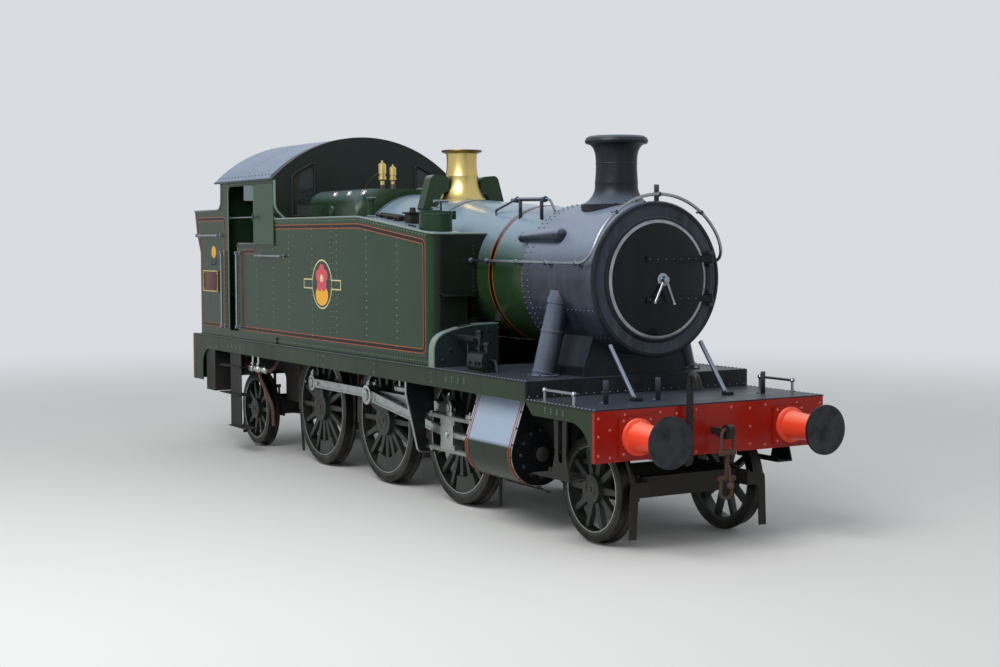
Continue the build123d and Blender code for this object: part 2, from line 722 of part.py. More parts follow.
# Wheels
def coupled_wheel(weight_half_angle):
    rim_inner = 598
    tyre = turned([
        (rim_inner, -TYRE_OUTER_Y),
        (rim_inner, -695),
        (COUPLED_RADIUS + FLANGE_DEPTH, -TYRE_INNER_Y),
        (COUPLED_RADIUS + FLANGE_DEPTH, -706),
        (COUPLED_RADIUS, -722),
        (COUPLED_RADIUS, -TYRE_OUTER_Y),
    ])
    hub = turned([(AXLE_RADIUS, -850), (175, -850), (175, -690), (AXLE_RADIUS, -690)])
    spokes = 16
    for index in range(spokes):
        spoke = side_plate([(150, -34, 0), (610, -24, 0), (610, 24, 0), (150, 34, 0)], -795, -735)
        hub += Rot(0, (index + 0.5) * 360 / spokes, 0) * spoke
    web = side_plate([(-150, 0, 0), (150, 0, 0), (105, CRANK, 0), (-105, CRANK, 0)], -850, -730)
    web += bar((0, -850, CRANK), (0, -730, CRANK), 105)
    web -= bar((0, -900, 0), (0, -600, 0), AXLE_RADIUS)
    pin = bar((0, -850, CRANK), (0, -PIN_END_Y, CRANK), PIN_RADIUS)
    weight = turned([(430, -805), (rim_inner + 4, -805), (rim_inner + 4, -725), (430, -725)], 2 * weight_half_angle)
    weight = Rot(0, 90 - weight_half_angle, 0) * weight
    return tyre + hub + web + pin + weight


def coupled_wheels(x, weight_half_angle):
    right = coupled_wheel(weight_half_angle)
    place = Pos(x, 0, COUPLED_RADIUS)
    left = left_of(right)
    return [place * Rot(0, RIGHT_CRANK_ANGLE, 0) * right, place * Rot(0, LEFT_CRANK_ANGLE, 0) * left]


def small_wheels(x):
    rim_inner = 392
    wheel = turned([
        (rim_inner, -TYRE_OUTER_Y),
        (rim_inner, -695),
        (SMALL_RADIUS + FLANGE_DEPTH, -TYRE_INNER_Y),
        (SMALL_RADIUS + FLANGE_DEPTH, -706),
        (SMALL_RADIUS, -722),
        (SMALL_RADIUS, -TYRE_OUTER_Y),
    ])
    bore = SMALL_AXLE_RADIUS
    wheel += turned([(bore, -835), (135, -835), (135, -690), (bore, -690)])
    spokes = 10
    for index in range(spokes):
        spoke = side_plate([(115, -32, 0), (400, -24, 0), (400, 24, 0), (115, 32, 0)], -790, -735)
        wheel += Rot(0, index * 360 / spokes, 0) * spoke
    place = Pos(x, 0, SMALL_RADIUS)
    return [place * wheel, place * left_of(wheel)]


def axle(x, radius, height, half):
    return [bar((x, -half, height), (x, half, height), radius)]


# Trucks
def truck_frame(axle_x, pivot_x):
    toward = 1 if pivot_x > axle_x else -1
    z = SMALL_RADIUS
    reach = 400
    side = block(axle_x - reach, axle_x + reach, -590, -560, 400, 640)
    side += block(axle_x - 130, axle_x + 130, -640, -540, 380, 600)
    side -= bar((axle_x, -700, z), (axle_x, -500, z), SMALL_AXLE_RADIUS + TURNING_GAP)
    frame = side + left_of(side)
    for offset in (-reach, reach - 30):
        frame += block(axle_x + offset, axle_x + offset + 30, -560, 560, 430, 620)
    # guard irons hang over the rails at the outer end
    tip = axle_x - toward * GUARD_REACH
    near_end = axle_x - toward * (reach - 20)
    for shape in both_sides(block(min(tip, near_end), max(tip, near_end), -590, -560, 480, 620)):
        frame += shape
    plate = cross_plate([(-565, 600, 0), (-770, 600, 60), (-790, 90, 0), (-710, 90, 0), (-690, 480, 50),
                         (-565, 480, 0)], tip, tip + toward * 16)
    frame += plate
    frame += left_of(plate)
    near = axle_x + toward * (reach - 10)
    arm = floor_plate([(near, -440, 0), (near, 440, 0), (pivot_x, 90, 0), (pivot_x, -90, 0)], 430, 460)
    arm += bar((pivot_x, 0, 415), (pivot_x, 0, 475), 100)
    frame += arm
    return [frame - bar((pivot_x, 0, 300), (pivot_x, 0, 600), 53)]


def brake_gear():
    pieces = []
    for step in (-1, 0, 1):
        x = DRIVING_X + step * COUPLED_STEP
        block_ring = turned([(712, -805), (775, -805), (775, -728), (712, -728)], 26)
        shoe = Pos(x, 0, COUPLED_RADIUS) * Rot(0, 180 + 8, 0) * block_ring
        hanger = block(x - 800, x - 765, -785, -750, 600, FOOT_TOP - FOOT_PLATE)
        pieces += both_sides(shoe + hanger)
    return pieces


# Steps, rails and stays
def steps():
    pieces = []
    cab = block(-3680, -3300, -1270, -1260, 300, FOOT_TOP - FOOT_PLATE)
    for z in (1104, 736):
        cab += block(-4020, -3300, -1300, -1130, z - 12, z)
    cab += block(-3700, -3100, -1300, -1130, 300, 312)
    hanger = [
        (4344, FRONT_TOP - FOOT_PLATE, 0),
        (4568, FRONT_TOP - FOOT_PLATE, 0),
        (4546, 860, 90),
        (4610, 640, 0),
        (4304, 640, 0),
        (4366, 860, 90),
    ]
    slot = [(4420, 1250, 34), (4492, 1250, 34), (4492, 780, 34), (4420, 780, 34)]
    front = side_plate(hanger, -1290, -1278) - side_plate(slot, -1300, -1270)
    front += block(3988, 4610, -1290, -1110, 628, 640)
    front += block(3988, 4610, -1116, -1110, 628, 680)
    for shape in (cab, front):
        pieces += both_sides(shape)
    return pieces


def sand_boxes():
    box = block(-4560, -4230, -1280, -1000, 720, FOOT_TOP - FOOT_PLATE)
    return both_sides(box)


def boiler_handrail():
    z = 2560
    y = -790
    radius = sqrt(y**2 + (z - BOILER_FRONT_Z) ** 2)
    x_front = 4185
    rail = bar((TANK_FRONT_X, y, z), (x_front, y, z), 16) + Pos(x_front, y, z) * Sphere(17)
    for x in (2300, 2870, 3420, 4000):
        rail += bar((x, -600, z), (x, y, z), 12)
    rail -= barrel(0) + smokebox_core(SMOKEBOX_RADIUS, BOILER_FRONT_X, SMOKEBOX_X)
    tangent = (0, z - BOILER_FRONT_Z, -y)
    section = Plane(origin=(x_front, y, z), z_dir=tangent) * Circle(16)
    sweep_angle = 180 - 2 * 11.5
    arc = revolve(section, Axis((0, 0, BOILER_FRONT_Z), (-1, 0, 0)), sweep_angle)
    return [rail + left_of(rail) + arc]


def grab_rails():
    pieces = []
    out = -BODY_HALF - 44
    # grab rails on the body: x0, z0, x1, z1
    table = [
        (-3900, 1620, -3900, 2610),
        (-3348, 1632, -3348, 2606),
        (-4817, 2837, -4038, 2837),
        (-2656, 2578, -1875, 2578),
    ]
    for x0, z0, x1, z1 in table:
        grab = bar((x0, out, z0), (x1, out, z1), 15)
        for x, rail_z in ((x0, z0), (x1, z1)):
            grab += bar((x, out, rail_z), (x, -BODY_HALF, rail_z), 11)
            grab += bar((x, out - 20, rail_z), (x, out + 16, rail_z), 20)
        pieces += both_sides(grab)
    return pieces


def front_stays():
    stay = bar((4140, -530, 1790), (4560, -530, 1290), 22)
    stay -= smokebox_core(SMOKEBOX_RADIUS, 3000, SMOKEBOX_X)
    stay -= block(4000, 5000, -700, 0, 1200, FRONT_TOP)
    return both_sides(stay)


os.makedirs("parts", exist_ok=True)

housings, heads = buffer_parts()
tank = side_tank()
neck = filler_neck(tank)
right_lid = filler_lid()
right_shutter = cab_shutter()
right_crosshead = crosshead(RIGHT_CRANK_ANGLE)
left_crosshead = left_of(crosshead(LEFT_CRANK_ANGLE))

pieces = {
    "main_frames": main_frames(),
    "frame_stretchers": frame_stretchers(),
    "coupled_axleboxes": coupled_axleboxes(),
    "running_plates": running_plates(),
    "front_platform": front_platform(),
    "valances": valances(),
    "front_buffer_beam": buffer_beam(True),
    "rear_buffer_beam": buffer_beam(False),
    "buffer_housings": housings,
    "buffer_heads": heads,
    "drawhooks": drawhooks(),
    "boiler_barrel": [barrel(0)],
    "firebox": firebox(),
    "smokebox": smokebox(),
    "smokebox_door": smokebox_door(),
    "smokebox_saddle": smokebox_saddle(),
    "chimney": chimney(),
    "safety_valve_bonnet": safety_valve_bonnet(),
    "top_feed_casings": top_feed_casings(),
    "side_tanks": both_sides(tank),
    "tank_filler_necks": both_sides(neck),
    "tank_filler_lid_right": [right_lid],
    "tank_filler_lid_left": [left_of(right_lid)],
    "arched_casings": arched_casings(),
    "cab_roof": cab_roof(),
    "cab_sides": both_sides(cab_side()),
    "cab_front": cab_front(),
    "cab_back": cab_back(),
    "cab_floor": cab_floor(),
    "backhead": backhead(),
    "shutter_runners": shutter_runners(),
    "cab_shutter_right": [right_shutter],
    "cab_shutter_left": [left_of(right_shutter)],
    "bunker": bunker(),
    "cylinders": cylinders(),
    "steam_pipes": steam_pipes(),
    "slide_bars": slide_bars(),
    "crossheads": [right_crosshead, left_crosshead],
    "connecting_rods": [connecting_rod(RIGHT_CRANK_ANGLE), left_of(connecting_rod(LEFT_CRANK_ANGLE))],
    "coupling_rod_right": [coupling_rod(RIGHT_CRANK_ANGLE)],
    "coupling_rod_left": [left_of(coupling_rod(LEFT_CRANK_ANGLE))],
    "vacuum_pump": vacuum_pump(),
    "coupled_wheels_front": coupled_wheels(DRIVING_X + COUPLED_STEP, 22),
    "coupled_wheels_driving": coupled_wheels(DRIVING_X, 38),
    "coupled_wheels_rear": coupled_wheels(DRIVING_X - COUPLED_STEP, 22),
    "leading_wheels": small_wheels(LEADING_X),
    "trailing_wheels": small_wheels(TRAILING_X),
    "coupled_axle_front": axle(DRIVING_X + COUPLED_STEP, AXLE_RADIUS, COUPLED_RADIUS, 850),
    "coupled_axle_driving": axle(DRIVING_X, AXLE_RADIUS, COUPLED_RADIUS, 850),
    "coupled_axle_rear": axle(DRIVING_X - COUPLED_STEP, AXLE_RADIUS, COUPLED_RADIUS, 850),
    "leading_axle": axle(LEADING_X, SMALL_AXLE_RADIUS, SMALL_RADIUS, 835),
    "trailing_axle": axle(TRAILING_X, SMALL_AXLE_RADIUS, SMALL_RADIUS, 835),
    "leading_truck": truck_frame(LEADING_X, LEADING_PIVOT_X),
    "trailing_truck": truck_frame(TRAILING_X, TRAILING_PIVOT_X),
    "brake_gear": brake_gear(),
    "steps": steps(),
    "sand_boxes": sand_boxes(),
    "boiler_handrail": boiler_handrail(),
    "grab_rails": grab_rails(),
    "front_stays": front_stays(),
}

for name, shapes in pieces.items():
    save(name, shapes)
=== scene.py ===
# %% [markdown]
# # A side-tank steam locomotive
#
# The solid model comes in as a fixed frame. This script paints it, and adds the rivets, lining,
# pipes and fittings that a painter, a riveter and a fitter would add.

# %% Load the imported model
import math

import bmesh
import bpy
from mathutils import Matrix, Vector


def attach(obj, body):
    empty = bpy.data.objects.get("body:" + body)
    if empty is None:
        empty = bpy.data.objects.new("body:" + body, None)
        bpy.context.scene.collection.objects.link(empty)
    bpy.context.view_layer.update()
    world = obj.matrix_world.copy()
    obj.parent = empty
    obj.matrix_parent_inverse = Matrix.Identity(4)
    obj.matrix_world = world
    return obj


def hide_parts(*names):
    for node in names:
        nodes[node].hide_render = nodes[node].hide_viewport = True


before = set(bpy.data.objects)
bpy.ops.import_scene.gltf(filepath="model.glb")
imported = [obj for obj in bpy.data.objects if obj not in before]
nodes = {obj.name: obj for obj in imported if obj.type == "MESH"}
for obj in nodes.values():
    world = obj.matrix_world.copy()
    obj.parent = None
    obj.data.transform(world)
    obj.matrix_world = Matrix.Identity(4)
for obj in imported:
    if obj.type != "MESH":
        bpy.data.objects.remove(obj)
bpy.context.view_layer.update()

# %% [markdown]
# ## Measurements
#
# A locomotive drawing is in millimetres, and its heights start at the top of the rail. All pieces
# are drawn that way, and one function turns each to metres when it is finished.

# %% Sizes shared by several pieces
FLANGE_DEPTH = 28
MM = 0.001
# outer face of the tanks and the cab, top of the running plate and of the front platform
SIDE = 1256
PLATE_TOP = 1473
FRONT_PLATFORM = 1308
# x, centre height and radius at both ends of the boiler's cladding
BOILER = [(-700, 2512, 808), (2880, 2399, 690)]
SMOKEBOX_Z, SMOKEBOX_RADIUS, SMOKEBOX_FRONT = 2399, 730, 4152
# x and height of the tank's upper edge
TANK_LINE = [(-2128, 3035), (253, 3035), (1978, 2841)]
ROOF_APEX = 4080
EAVE = (1275, 3545)
ROOF_RADIUS = (EAVE[0] ** 2 + (ROOF_APEX - EAVE[1]) ** 2) / (2 * (ROOF_APEX - EAVE[1]))
ROOF_CENTRE = ROOF_APEX - ROOF_RADIUS
RIGHT, UP, AHEAD, BACK = (0, -1, 0), (0, 0, 1), (1, 0, 0), (-1, 0, 0)
DRAWING_TO_FRAME = Matrix.Scale(MM, 4) @ Matrix.Translation((0, 0, FLANGE_DEPTH))


def boiler_at(x):
    (x0, z0, r0), (x1, z1, r1) = BOILER
    share = (x - x0) / (x1 - x0)
    return z0 + share * (z1 - z0), r0 + share * (r1 - r0)


def tank_top_at(x):
    (_, flat), (x0, z0), (x1, z1) = TANK_LINE
    return flat if x < x0 else z0 + (x - x0) / (x1 - x0) * (z1 - z0)


# %% [markdown]
# ## Shaders
#
# Every finish is a small tree of shader nodes. One function adds a node with its settings and its
# links, and short ones add the usual nodes. Colours are given in hex as a screen shows them.

# %% Node helpers and colour helper
def add(tree, kind, settings=None, links=None):
    node = tree.nodes.new("ShaderNode" + kind)
    for key, value in (settings or {}).items():
        setattr(node, key, value)
    for name, value in (links or {}).items():
        if isinstance(value, bpy.types.NodeSocket):
            tree.links.new(value, node.inputs[name])
        else:
            node.inputs[name].default_value = value
    return node


def linear(code):
    values = [int(code[i:i + 2], 16) / 255 for i in (1, 3, 5)]
    return [v / 12.92 if v <= 0.04045 else ((v + 0.055) / 1.055) ** 2.4 for v in values] + [1]


def new_tree(name):
    material = bpy.data.materials.new(name)
    material.use_nodes = True
    material.node_tree.nodes.clear()
    return material, material.node_tree


def noise(tree, place, scale, detail, roughness=0.5):
    links = {"Vector": place, "Scale": scale, "Detail": detail, "Roughness": roughness}
    return add(tree, "TexNoise", links=links).outputs["Fac"]


def ramp(tree, value, start, end, low=0.0, high=1.0, smooth=False):
    links = {"Value": value, "From Min": start, "From Max": end, "To Min": low, "To Max": high}
    way = {"interpolation_type": "SMOOTHSTEP" if smooth else "LINEAR"}
    return add(tree, "MapRange", way, links).outputs[0]


def mix(tree, share, first, second):
    # inputs 6 and 7 and output 2 are the node's colours
    first, second = [linear(c) if isinstance(c, str) else c for c in (first, second)]
    return add(tree, "Mix", {"data_type": "RGBA"}, {"Factor": share, 6: first, 7: second}).outputs[2]


def surface(tree, colour, roughness, relief, **more):
    # relief is (height, strength, depth in metres)
    bump = add(tree, "Bump", links=dict(zip(("Height", "Strength", "Distance"), relief)))
    links = {"Base Color": colour, "Roughness": roughness, "Normal": bump.outputs[0]}
    links.update({name.replace("_", " "): value for name, value in more.items()})
    close_tree(tree, add(tree, "BsdfPrincipled", links=links))


def close_tree(tree, shader):
    add(tree, "OutputMaterial", links={"Surface": shader.outputs[0]})


# %% [markdown]
# ## Locomotive paint
#
# The paint is enamel under varnish, brushed on by hand and wiped with oily rags. It has cloudy
# patches from a broad noise, runs from a noise stretched along Z, and brake dust low down. Where a
# surface faces up, a pale bluish colour that follows the surface's own normal is mixed in. It is
# partly dust and partly a painted reflection of the sky, lighter on tops and upper slopes.

# %% Painted steel
# screen colour, greatest share, and the upward part of the normal where the pale dust and painted sky
# reflection starts and is full
PALE_DUST_AND_SKY_SHEEN = ("#8b99a8", 0.45, (0.35, 0.9))
NO_DUST_OR_SKY_SHEEN = ("#8b99a8", 0.0, (0.5, 1.0))
SIDE_DUST_AND_SKY_SHEEN = ("#8fa0b4", 0.62, (0.42, 0.8))
# the cylinders' upper slanted face is lighter than the curve below it: a painted reflection of the sky
FOLD_SKY_SHEEN = ("#98a8bc", 0.8, (0.2, 0.3))


def zone(tree, shade, along, limit, above, colour, soft=0.0005, mirrored=True):
    # the second colour lies above or below the limit, which is a distance from the middle if mirrored
    if mirrored:
        along = add(tree, "Math", {"operation": "ABSOLUTE"}, {0: along}).outputs[0]
    ends = (0.0, 1.0) if above else (1.0, 0.0)
    return mix(tree, ramp(tree, along, limit, limit + soft, *ends, smooth=True), shade, colour)


def enamel(name, colour, grime, gloss, clouds=0.35, dust=0.3, dust_top=1.4, coat=0.08, bump=0.02,
           dust_and_sky_sheen=PALE_DUST_AND_SKY_SHEEN, second=None):
    material, tree = new_tree(name)
    place = add(tree, "TexCoord").outputs["Object"]
    spot = add(tree, "SeparateXYZ", links={"Vector": place}).outputs
    tall = add(tree, "Mapping", links={"Vector": place, "Scale": (9.0, 9.0, 0.7)}).outputs[0]
    patch = ramp(tree, noise(tree, place, 1.7, 5.0, 0.6), 0.35, 0.75, high=clouds)
    runs = ramp(tree, noise(tree, tall, 1.6, 4.0), 0.5, 0.8, high=clouds)
    low = ramp(tree, spot["Z"], dust_top, 0.2, high=dust)
    dirt = add(tree, "Math", {"operation": "ADD"}, {0: patch, 1: runs}).outputs[0]
    dirt = add(tree, "Math", {"operation": "ADD", "use_clamp": True}, {0: dirt, 1: low}).outputs[0]
    normal = add(tree, "NewGeometry").outputs["Normal"]
    upward = add(tree, "SeparateXYZ", links={"Vector": normal}).outputs["Z"]
    sheen_colour, amount, slope = dust_and_sky_sheen
    shade = mix(tree, dirt, colour, grime)
    # faces turned up get a pale colour: dust, and a painted reflection of the sky
    shade = mix(tree, ramp(tree, upward, *slope, high=amount, smooth=True), shade, sheen_colour)
    if second:
        shade = zone(tree, shade, spot["X"], *second)
    surface(tree, shade, ramp(tree, dirt, 0.0, 1.0, *gloss),
            (noise(tree, place, 26.0, 3.0), 0.5, bump * 0.1), Coat_Weight=coat, Coat_Roughness=0.12,
            Specular_IOR_Level=0.18)
    return material


# in every finish the pale colour on faces turned up is dust and a painted sky reflection; on boiler and
# smokebox it reaches down the sides
PAINT = {
    "body_green": enamel("enamel_green_varnished", "#172e18", "#283d2e", (0.22, 0.4), clouds=0.42,
                         coat=0.05, dust_and_sky_sheen=SIDE_DUST_AND_SKY_SHEEN),
    # the front ends of the tanks are near-black green: painted shade
    "tank_green": enamel("enamel_green_on_tank_sheets_shaded_front", "#172e18", "#283d2e", (0.22, 0.4), clouds=0.42,
                         coat=0.05, dust_and_sky_sheen=SIDE_DUST_AND_SKY_SHEEN, second=(1.925, True, "#121b15", 0.045, False)),
    "boiler_green": enamel("enamel_green_on_boiler_cladding", "#1c3319", "#2b3c2e", (0.18, 0.34),
                           coat=0.12, dust_and_sky_sheen=("#8b9fb2", 0.64, (0.08, 0.8))),
    "firebox_green": enamel("enamel_green_on_firebox_cladding", "#1b2f1b", "#2b3a30", (0.2, 0.36),
                            coat=0.1, dust_and_sky_sheen=("#6f8189", 0.5, (0.25, 0.95))),
    # rivet heads are lighter than the plates: partly worn paint, partly a painted highlight
    "rivet_green": enamel("enamel_green_on_worn_highlit_rivet_heads", "#5d7560", "#46584a", (0.2, 0.35), dust_and_sky_sheen=NO_DUST_OR_SKY_SHEEN),
    # pale green on beading, rolled edges and plate-edge rivets: a painted reflection of the sky
    "beading_green": enamel("enamel_green_painted_sky_sheen", "#6c7b70", "#55625a", (0.2, 0.35), clouds=0.2),
    "cladding_green": enamel("enamel_green_polished_cladding", "#131f12", "#252b26", (0.22, 0.4),
                             coat=0.04, dust_and_sky_sheen=FOLD_SKY_SHEEN, second=(3.6232, True, "#0b0d0f")),
    "shutter_green": enamel("enamel_green_flat_sheet", "#294431", "#33463a", (0.3, 0.5)),
    "valance_green": enamel("enamel_green_edge_plate", "#1e2f1b", "#1e231f", (0.35, 0.6), clouds=0.5,
                            dust_top=1.3),
    "smokebox_black": enamel("heat_resisting_black_paint", "#1c2129", "#3d4553", (0.25, 0.48),
                             clouds=0.55, dust_and_sky_sheen=("#7d889b", 0.72, (-0.05, 0.62))),
    "door_black": enamel("heat_resisting_black_wiped", "#06080c", "#12161d", (0.16, 0.34), clouds=0.35,
                         coat=0.03, dust_and_sky_sheen=("#4a5260", 0.5, (0.3, 0.95))),
    "chimney_black": enamel("heat_resisting_black_matt", "#12161b", "#262c34", (0.35, 0.55), clouds=0.5,
                            coat=0.0, dust_and_sky_sheen=("#5c6675", 0.6, (0.15, 0.9))),
    "frame_black": enamel("oily_black_on_frame_steel", "#151717", "#2f2b26", (0.35, 0.75), clouds=0.45,
                          dust=0.5, coat=0.0, dust_and_sky_sheen=("#4b4d50", 0.4, (0.4, 0.9))),
    # the arched casings are near-black
    "arch_black": enamel("near_black_on_spring_casing", "#1b2526", "#263030", (0.3, 0.55), clouds=0.4,
                         dust_and_sky_sheen=NO_DUST_OR_SKY_SHEEN),
    "brake_brown": enamel("rusty_brown_on_forged_hangers", "#3a2c25", "#584236", (0.55, 0.85),
                          clouds=0.6, coat=0.0, dust_and_sky_sheen=NO_DUST_OR_SKY_SHEEN),
    "deck_black": enamel("worn_black_on_chequer_plate", "#101317", "#282b31", (0.35, 0.6), clouds=0.6,
                         coat=0.0, bump=0.05, dust_and_sky_sheen=("#474e5a", 0.5, (0.4, 0.9))),
    "roof_sheet": enamel("weathered_grey_roof_and_dark_hoop", "#5f6a78", "#4f5761", (0.32, 0.55),
                         clouds=0.45, dust_and_sky_sheen=("#8b9dba", 0.5, (0.3, 0.9)),
                         second=(2.292, False, "#15181b")),
    "slide_bar_steel": enamel("planed_steel_and_black_bracket", "#7f8481", "#595750", (0.25, 0.45),
                              clouds=0.4, dust_and_sky_sheen=NO_DUST_OR_SKY_SHEEN, second=(1.474, False, "#101415")),
    "gutter_dark": enamel("weathered_dark_gutter_paint", "#2a3038", "#3b424b", (0.32, 0.55), clouds=0.45),
    # near-black green on the cab front, backhead, floor and the gear before the tanks: painted shade
    "cab_dark": enamel("enamel_green_darkened_as_painted_shade", "#16201c", "#121716", (0.35, 0.55), clouds=0.4,
                       dust_and_sky_sheen=NO_DUST_OR_SKY_SHEEN),
    "beam_red": enamel("signal_red_enamel_black_inside", "#8f190e", "#6d1911", (0.25, 0.4), clouds=0.25,
                       second=(4.9845, False, "#141414")),
    # rivet heads lighter than the beam: a painted highlight
    "rivet_highlight_red": enamel("signal_red_enamel_on_highlit_rivet_heads", "#b3463a", "#8a3228", (0.25, 0.4),
                        clouds=0.2),
    "housing_red": enamel("orange_red_enamel_and_red_foot", "#de4129", "#b8381f", (0.28, 0.42),
                          clouds=0.2, dust_and_sky_sheen=("#f79a80", 0.5, (0.2, 0.9)),
                          second=(5.0515, False, "#8c1c10")),
    "lining_orange": enamel("lining_orange_signwriters_paint", "#9c4a1b", "#7d4320", (0.3, 0.45),
                            clouds=0.4, coat=0.0),
    "lining_black": enamel("lining_black_signwriters_paint", "#050606", "#0c0d0c", (0.35, 0.5),
                           clouds=0.3, coat=0.0),
    "mark_yellow": enamel("yellow_signwriters_paint", "#e0a11a", "#b98a24", (0.3, 0.45), clouds=0.2),
    "mark_cream": enamel("cream_signwriters_paint", "#cfc48e", "#a39a70", (0.3, 0.45), clouds=0.2),
    "mark_red": enamel("rose_red_signwriters_paint", "#c8424f", "#93343c", (0.3, 0.45), clouds=0.2),
    "plate_red": enamel("red_brown_number_plate_ground", "#4a2119", "#351b15", (0.35, 0.5), clouds=0.3),
}
print("paints:", len(PAINT))

# %% [markdown]
# ## Bare and polished metal
#
# Rods are machined steel kept bright with an oily rag. The safety-valve bonnet is spun brass with a
# soft cloudy tarnish. All metals are one recipe with other colours, grain and roughness.

# %% Metals
def metal(name, colour, stain, rough, amount=0.35, stretch=(1, 1, 1), scale=9.0):
    material, tree = new_tree(name)
    place = add(tree, "TexCoord").outputs["Object"]
    drawn = add(tree, "Mapping", links={"Vector": place, "Scale": stretch}).outputs[0]
    cloud = noise(tree, drawn, scale, 6.0)
    shade = mix(tree, ramp(tree, cloud, 0.42, 0.72, high=amount), colour, stain)
    surface(tree, shade, ramp(tree, cloud, 0.0, 1.0, *rough),
            (noise(tree, drawn, scale * 12, 2.0), 0.25, 0.0006), Metallic=1.0)
    return material


METAL = {
    "rod_steel": metal("machined_steel_oiled", "#b2b7b5", "#77756d", (0.28, 0.46), 0.4, (1, 1, 2)),
    "bright_steel": metal("machined_steel_wiped_bright", "#c5c8c6", "#8f8d86", (0.2, 0.35), 0.3),
    "axle_steel": metal("forged_steel_dull", "#5c5752", "#3a322b", (0.4, 0.7), 0.6),
    "buffer_steel": metal("greased_buffer_steel", "#3d3f42", "#1d1d1e", (0.3, 0.6), 0.6),
    "rail_steel": metal("polished_handrail_steel", "#9a9fa6", "#5c6066", (0.22, 0.42), 0.45),
    "brass": metal("spun_brass_rubbed_satin", "#d8c27e", "#9c8440", (0.24, 0.42), 0.55, (1, 1, 0.35),
                   4.0),
    "dark_brass": metal("dark_brown_brass", "#6b5330", "#3a2c1c", (0.3, 0.5), 0.5),
    "copper": metal("copper_pipe_tarnished", "#a0623f", "#5c3b2b", (0.25, 0.5), 0.5),
    "plug_steel": metal("washout_plug_bright", "#d4d2c8", "#8d8a80", (0.15, 0.3), 0.2),
}
GLASS, tree = new_tree("plate_glass")
close_tree(tree, add(tree, "BsdfPrincipled", links={"Base Color": linear("#8b9a97"), "Roughness": 0.02,
                                                    "Transmission Weight": 0.95, "IOR": 1.3}))
FINISH = {**PAINT, **METAL, "glass": GLASS}
print("metals:", len(METAL))

# %% [markdown]
# ## Wheels: paint on the spokes, bare steel on the tyre
#
# A wheel's centre is painted, and the tyre shrunk on it is bare steel. In the solid model both are
# one piece, so the shader tells them apart by the distance from the axle.

# %% Wheel finish
def wheel_finish(name, axle_x, axle_z, tyre):
    material, tree = new_tree(name)
    place = add(tree, "TexCoord").outputs["Object"]
    centred = add(tree, "Mapping", {"vector_type": "POINT"},
                  {"Vector": place, "Location": (-axle_x * MM, 0, -(axle_z + FLANGE_DEPTH) * MM)})
    flat = add(tree, "VectorMath", {"operation": "MULTIPLY"}, {0: centred.outputs[0], 1: (1, 0, 1)})
    away = add(tree, "VectorMath", {"operation": "LENGTH"}, {0: flat.outputs[0]}).outputs["Value"]
    rim = ramp(tree, away, tyre * MM, (tyre + 6) * MM)
    cloud = noise(tree, place, 7.0, 6.0)
    oil = ramp(tree, cloud, 0.4, 0.7)
    shade = mix(tree, rim, mix(tree, oil, "#1c2620", "#25221e"), mix(tree, oil, "#3d3b39", "#2c2723"))
    surface(tree, shade, ramp(tree, cloud, 0.0, 1.0, 0.3, 0.65), (cloud, 0.3, 0.002), Metallic=rim)
    return material


# body, node, axle x and height, radius where the tyre starts, radius inside the rim, hub face's y, bore
AXLES = [
    ("front_wheelset", "coupled_wheels_front", 1772.5, 705, 640, 598, 850, 95),
    ("driving_wheelset", "coupled_wheels_driving", 20, 705, 640, 598, 850, 95),
    ("rear_wheelset", "coupled_wheels_rear", -1732.5, 705, 640, 598, 850, 95),
    ("leading_wheelset", "leading_wheels", 4260.5, 482.5, 425, 392, 835, 80),
    ("trailing_wheelset", "trailing_wheels", -3918.5, 482.5, 425, 392, 835, 80),
]


def give(node, material):
    nodes[node].data.materials.clear()
    nodes[node].data.materials.append(material)


for _, node, x, z, tyre, *_ in AXLES:
    give(node, wheel_finish("cast_steel_" + node, x, z, tyre))

# %% [markdown]
# ## Finishes for the rest of the solid model
#
# Each node keeps its shape and gets one finish: green above the running plate, black below it and
# at the hot end, red on the beams.

# %% Assign the finishes
FINISHES = {
    "body_green": "tank_filler_necks tank_filler_lid_right tank_filler_lid_left cab_sides cab_back "
                  "bunker shutter_runners",
    "tank_green": "side_tanks",
    "boiler_green": "boiler_barrel",
    "firebox_green": "firebox top_feed_casings",
    "cladding_green": "cylinders",
    "shutter_green": "cab_shutter_right cab_shutter_left",
    "valance_green": "valances",
    "arch_black": "arched_casings",
    "cab_dark": "cab_front backhead cab_floor",
    "smokebox_black": "smokebox steam_pipes front_stays",
    "door_black": "smokebox_door",
    "chimney_black": "chimney smokebox_saddle",
    "frame_black": "main_frames frame_stretchers coupled_axleboxes leading_truck trailing_truck steps "
                   "sand_boxes drawhooks",
    "brake_brown": "brake_gear",
    "deck_black": "running_plates front_platform",
    "roof_sheet": "cab_roof",
    "beam_red": "front_buffer_beam rear_buffer_beam",
    "housing_red": "buffer_housings",
    "rod_steel": "crossheads connecting_rods coupling_rod_right coupling_rod_left vacuum_pump",
    "slide_bar_steel": "slide_bars",
    "axle_steel": "coupled_axle_front coupled_axle_driving coupled_axle_rear leading_axle trailing_axle",
    "buffer_steel": "buffer_heads",
    "rail_steel": "grab_rails boiler_handrail",
    "brass": "safety_valve_bonnet",
}
for finish, names in FINISHES.items():
    for node in names.split():
        give(node, FINISH[finish])
print("finished nodes:", sum(len(names.split()) for names in FINISHES.values()) + len(AXLES))

# %% [markdown]
# ## Tools for modelling
#
# The added pieces are few kinds of shape: blocks, round bars, turned shapes, plates cut from an
# outline, bent pipes and rivets. Each helper adds one to a bmesh, which is finished as one piece.

# %% Helpers that add a shape to a bmesh
def facing(axis):
    return Vector(axis).to_track_quat("Z", "Y").to_matrix().to_4x4()


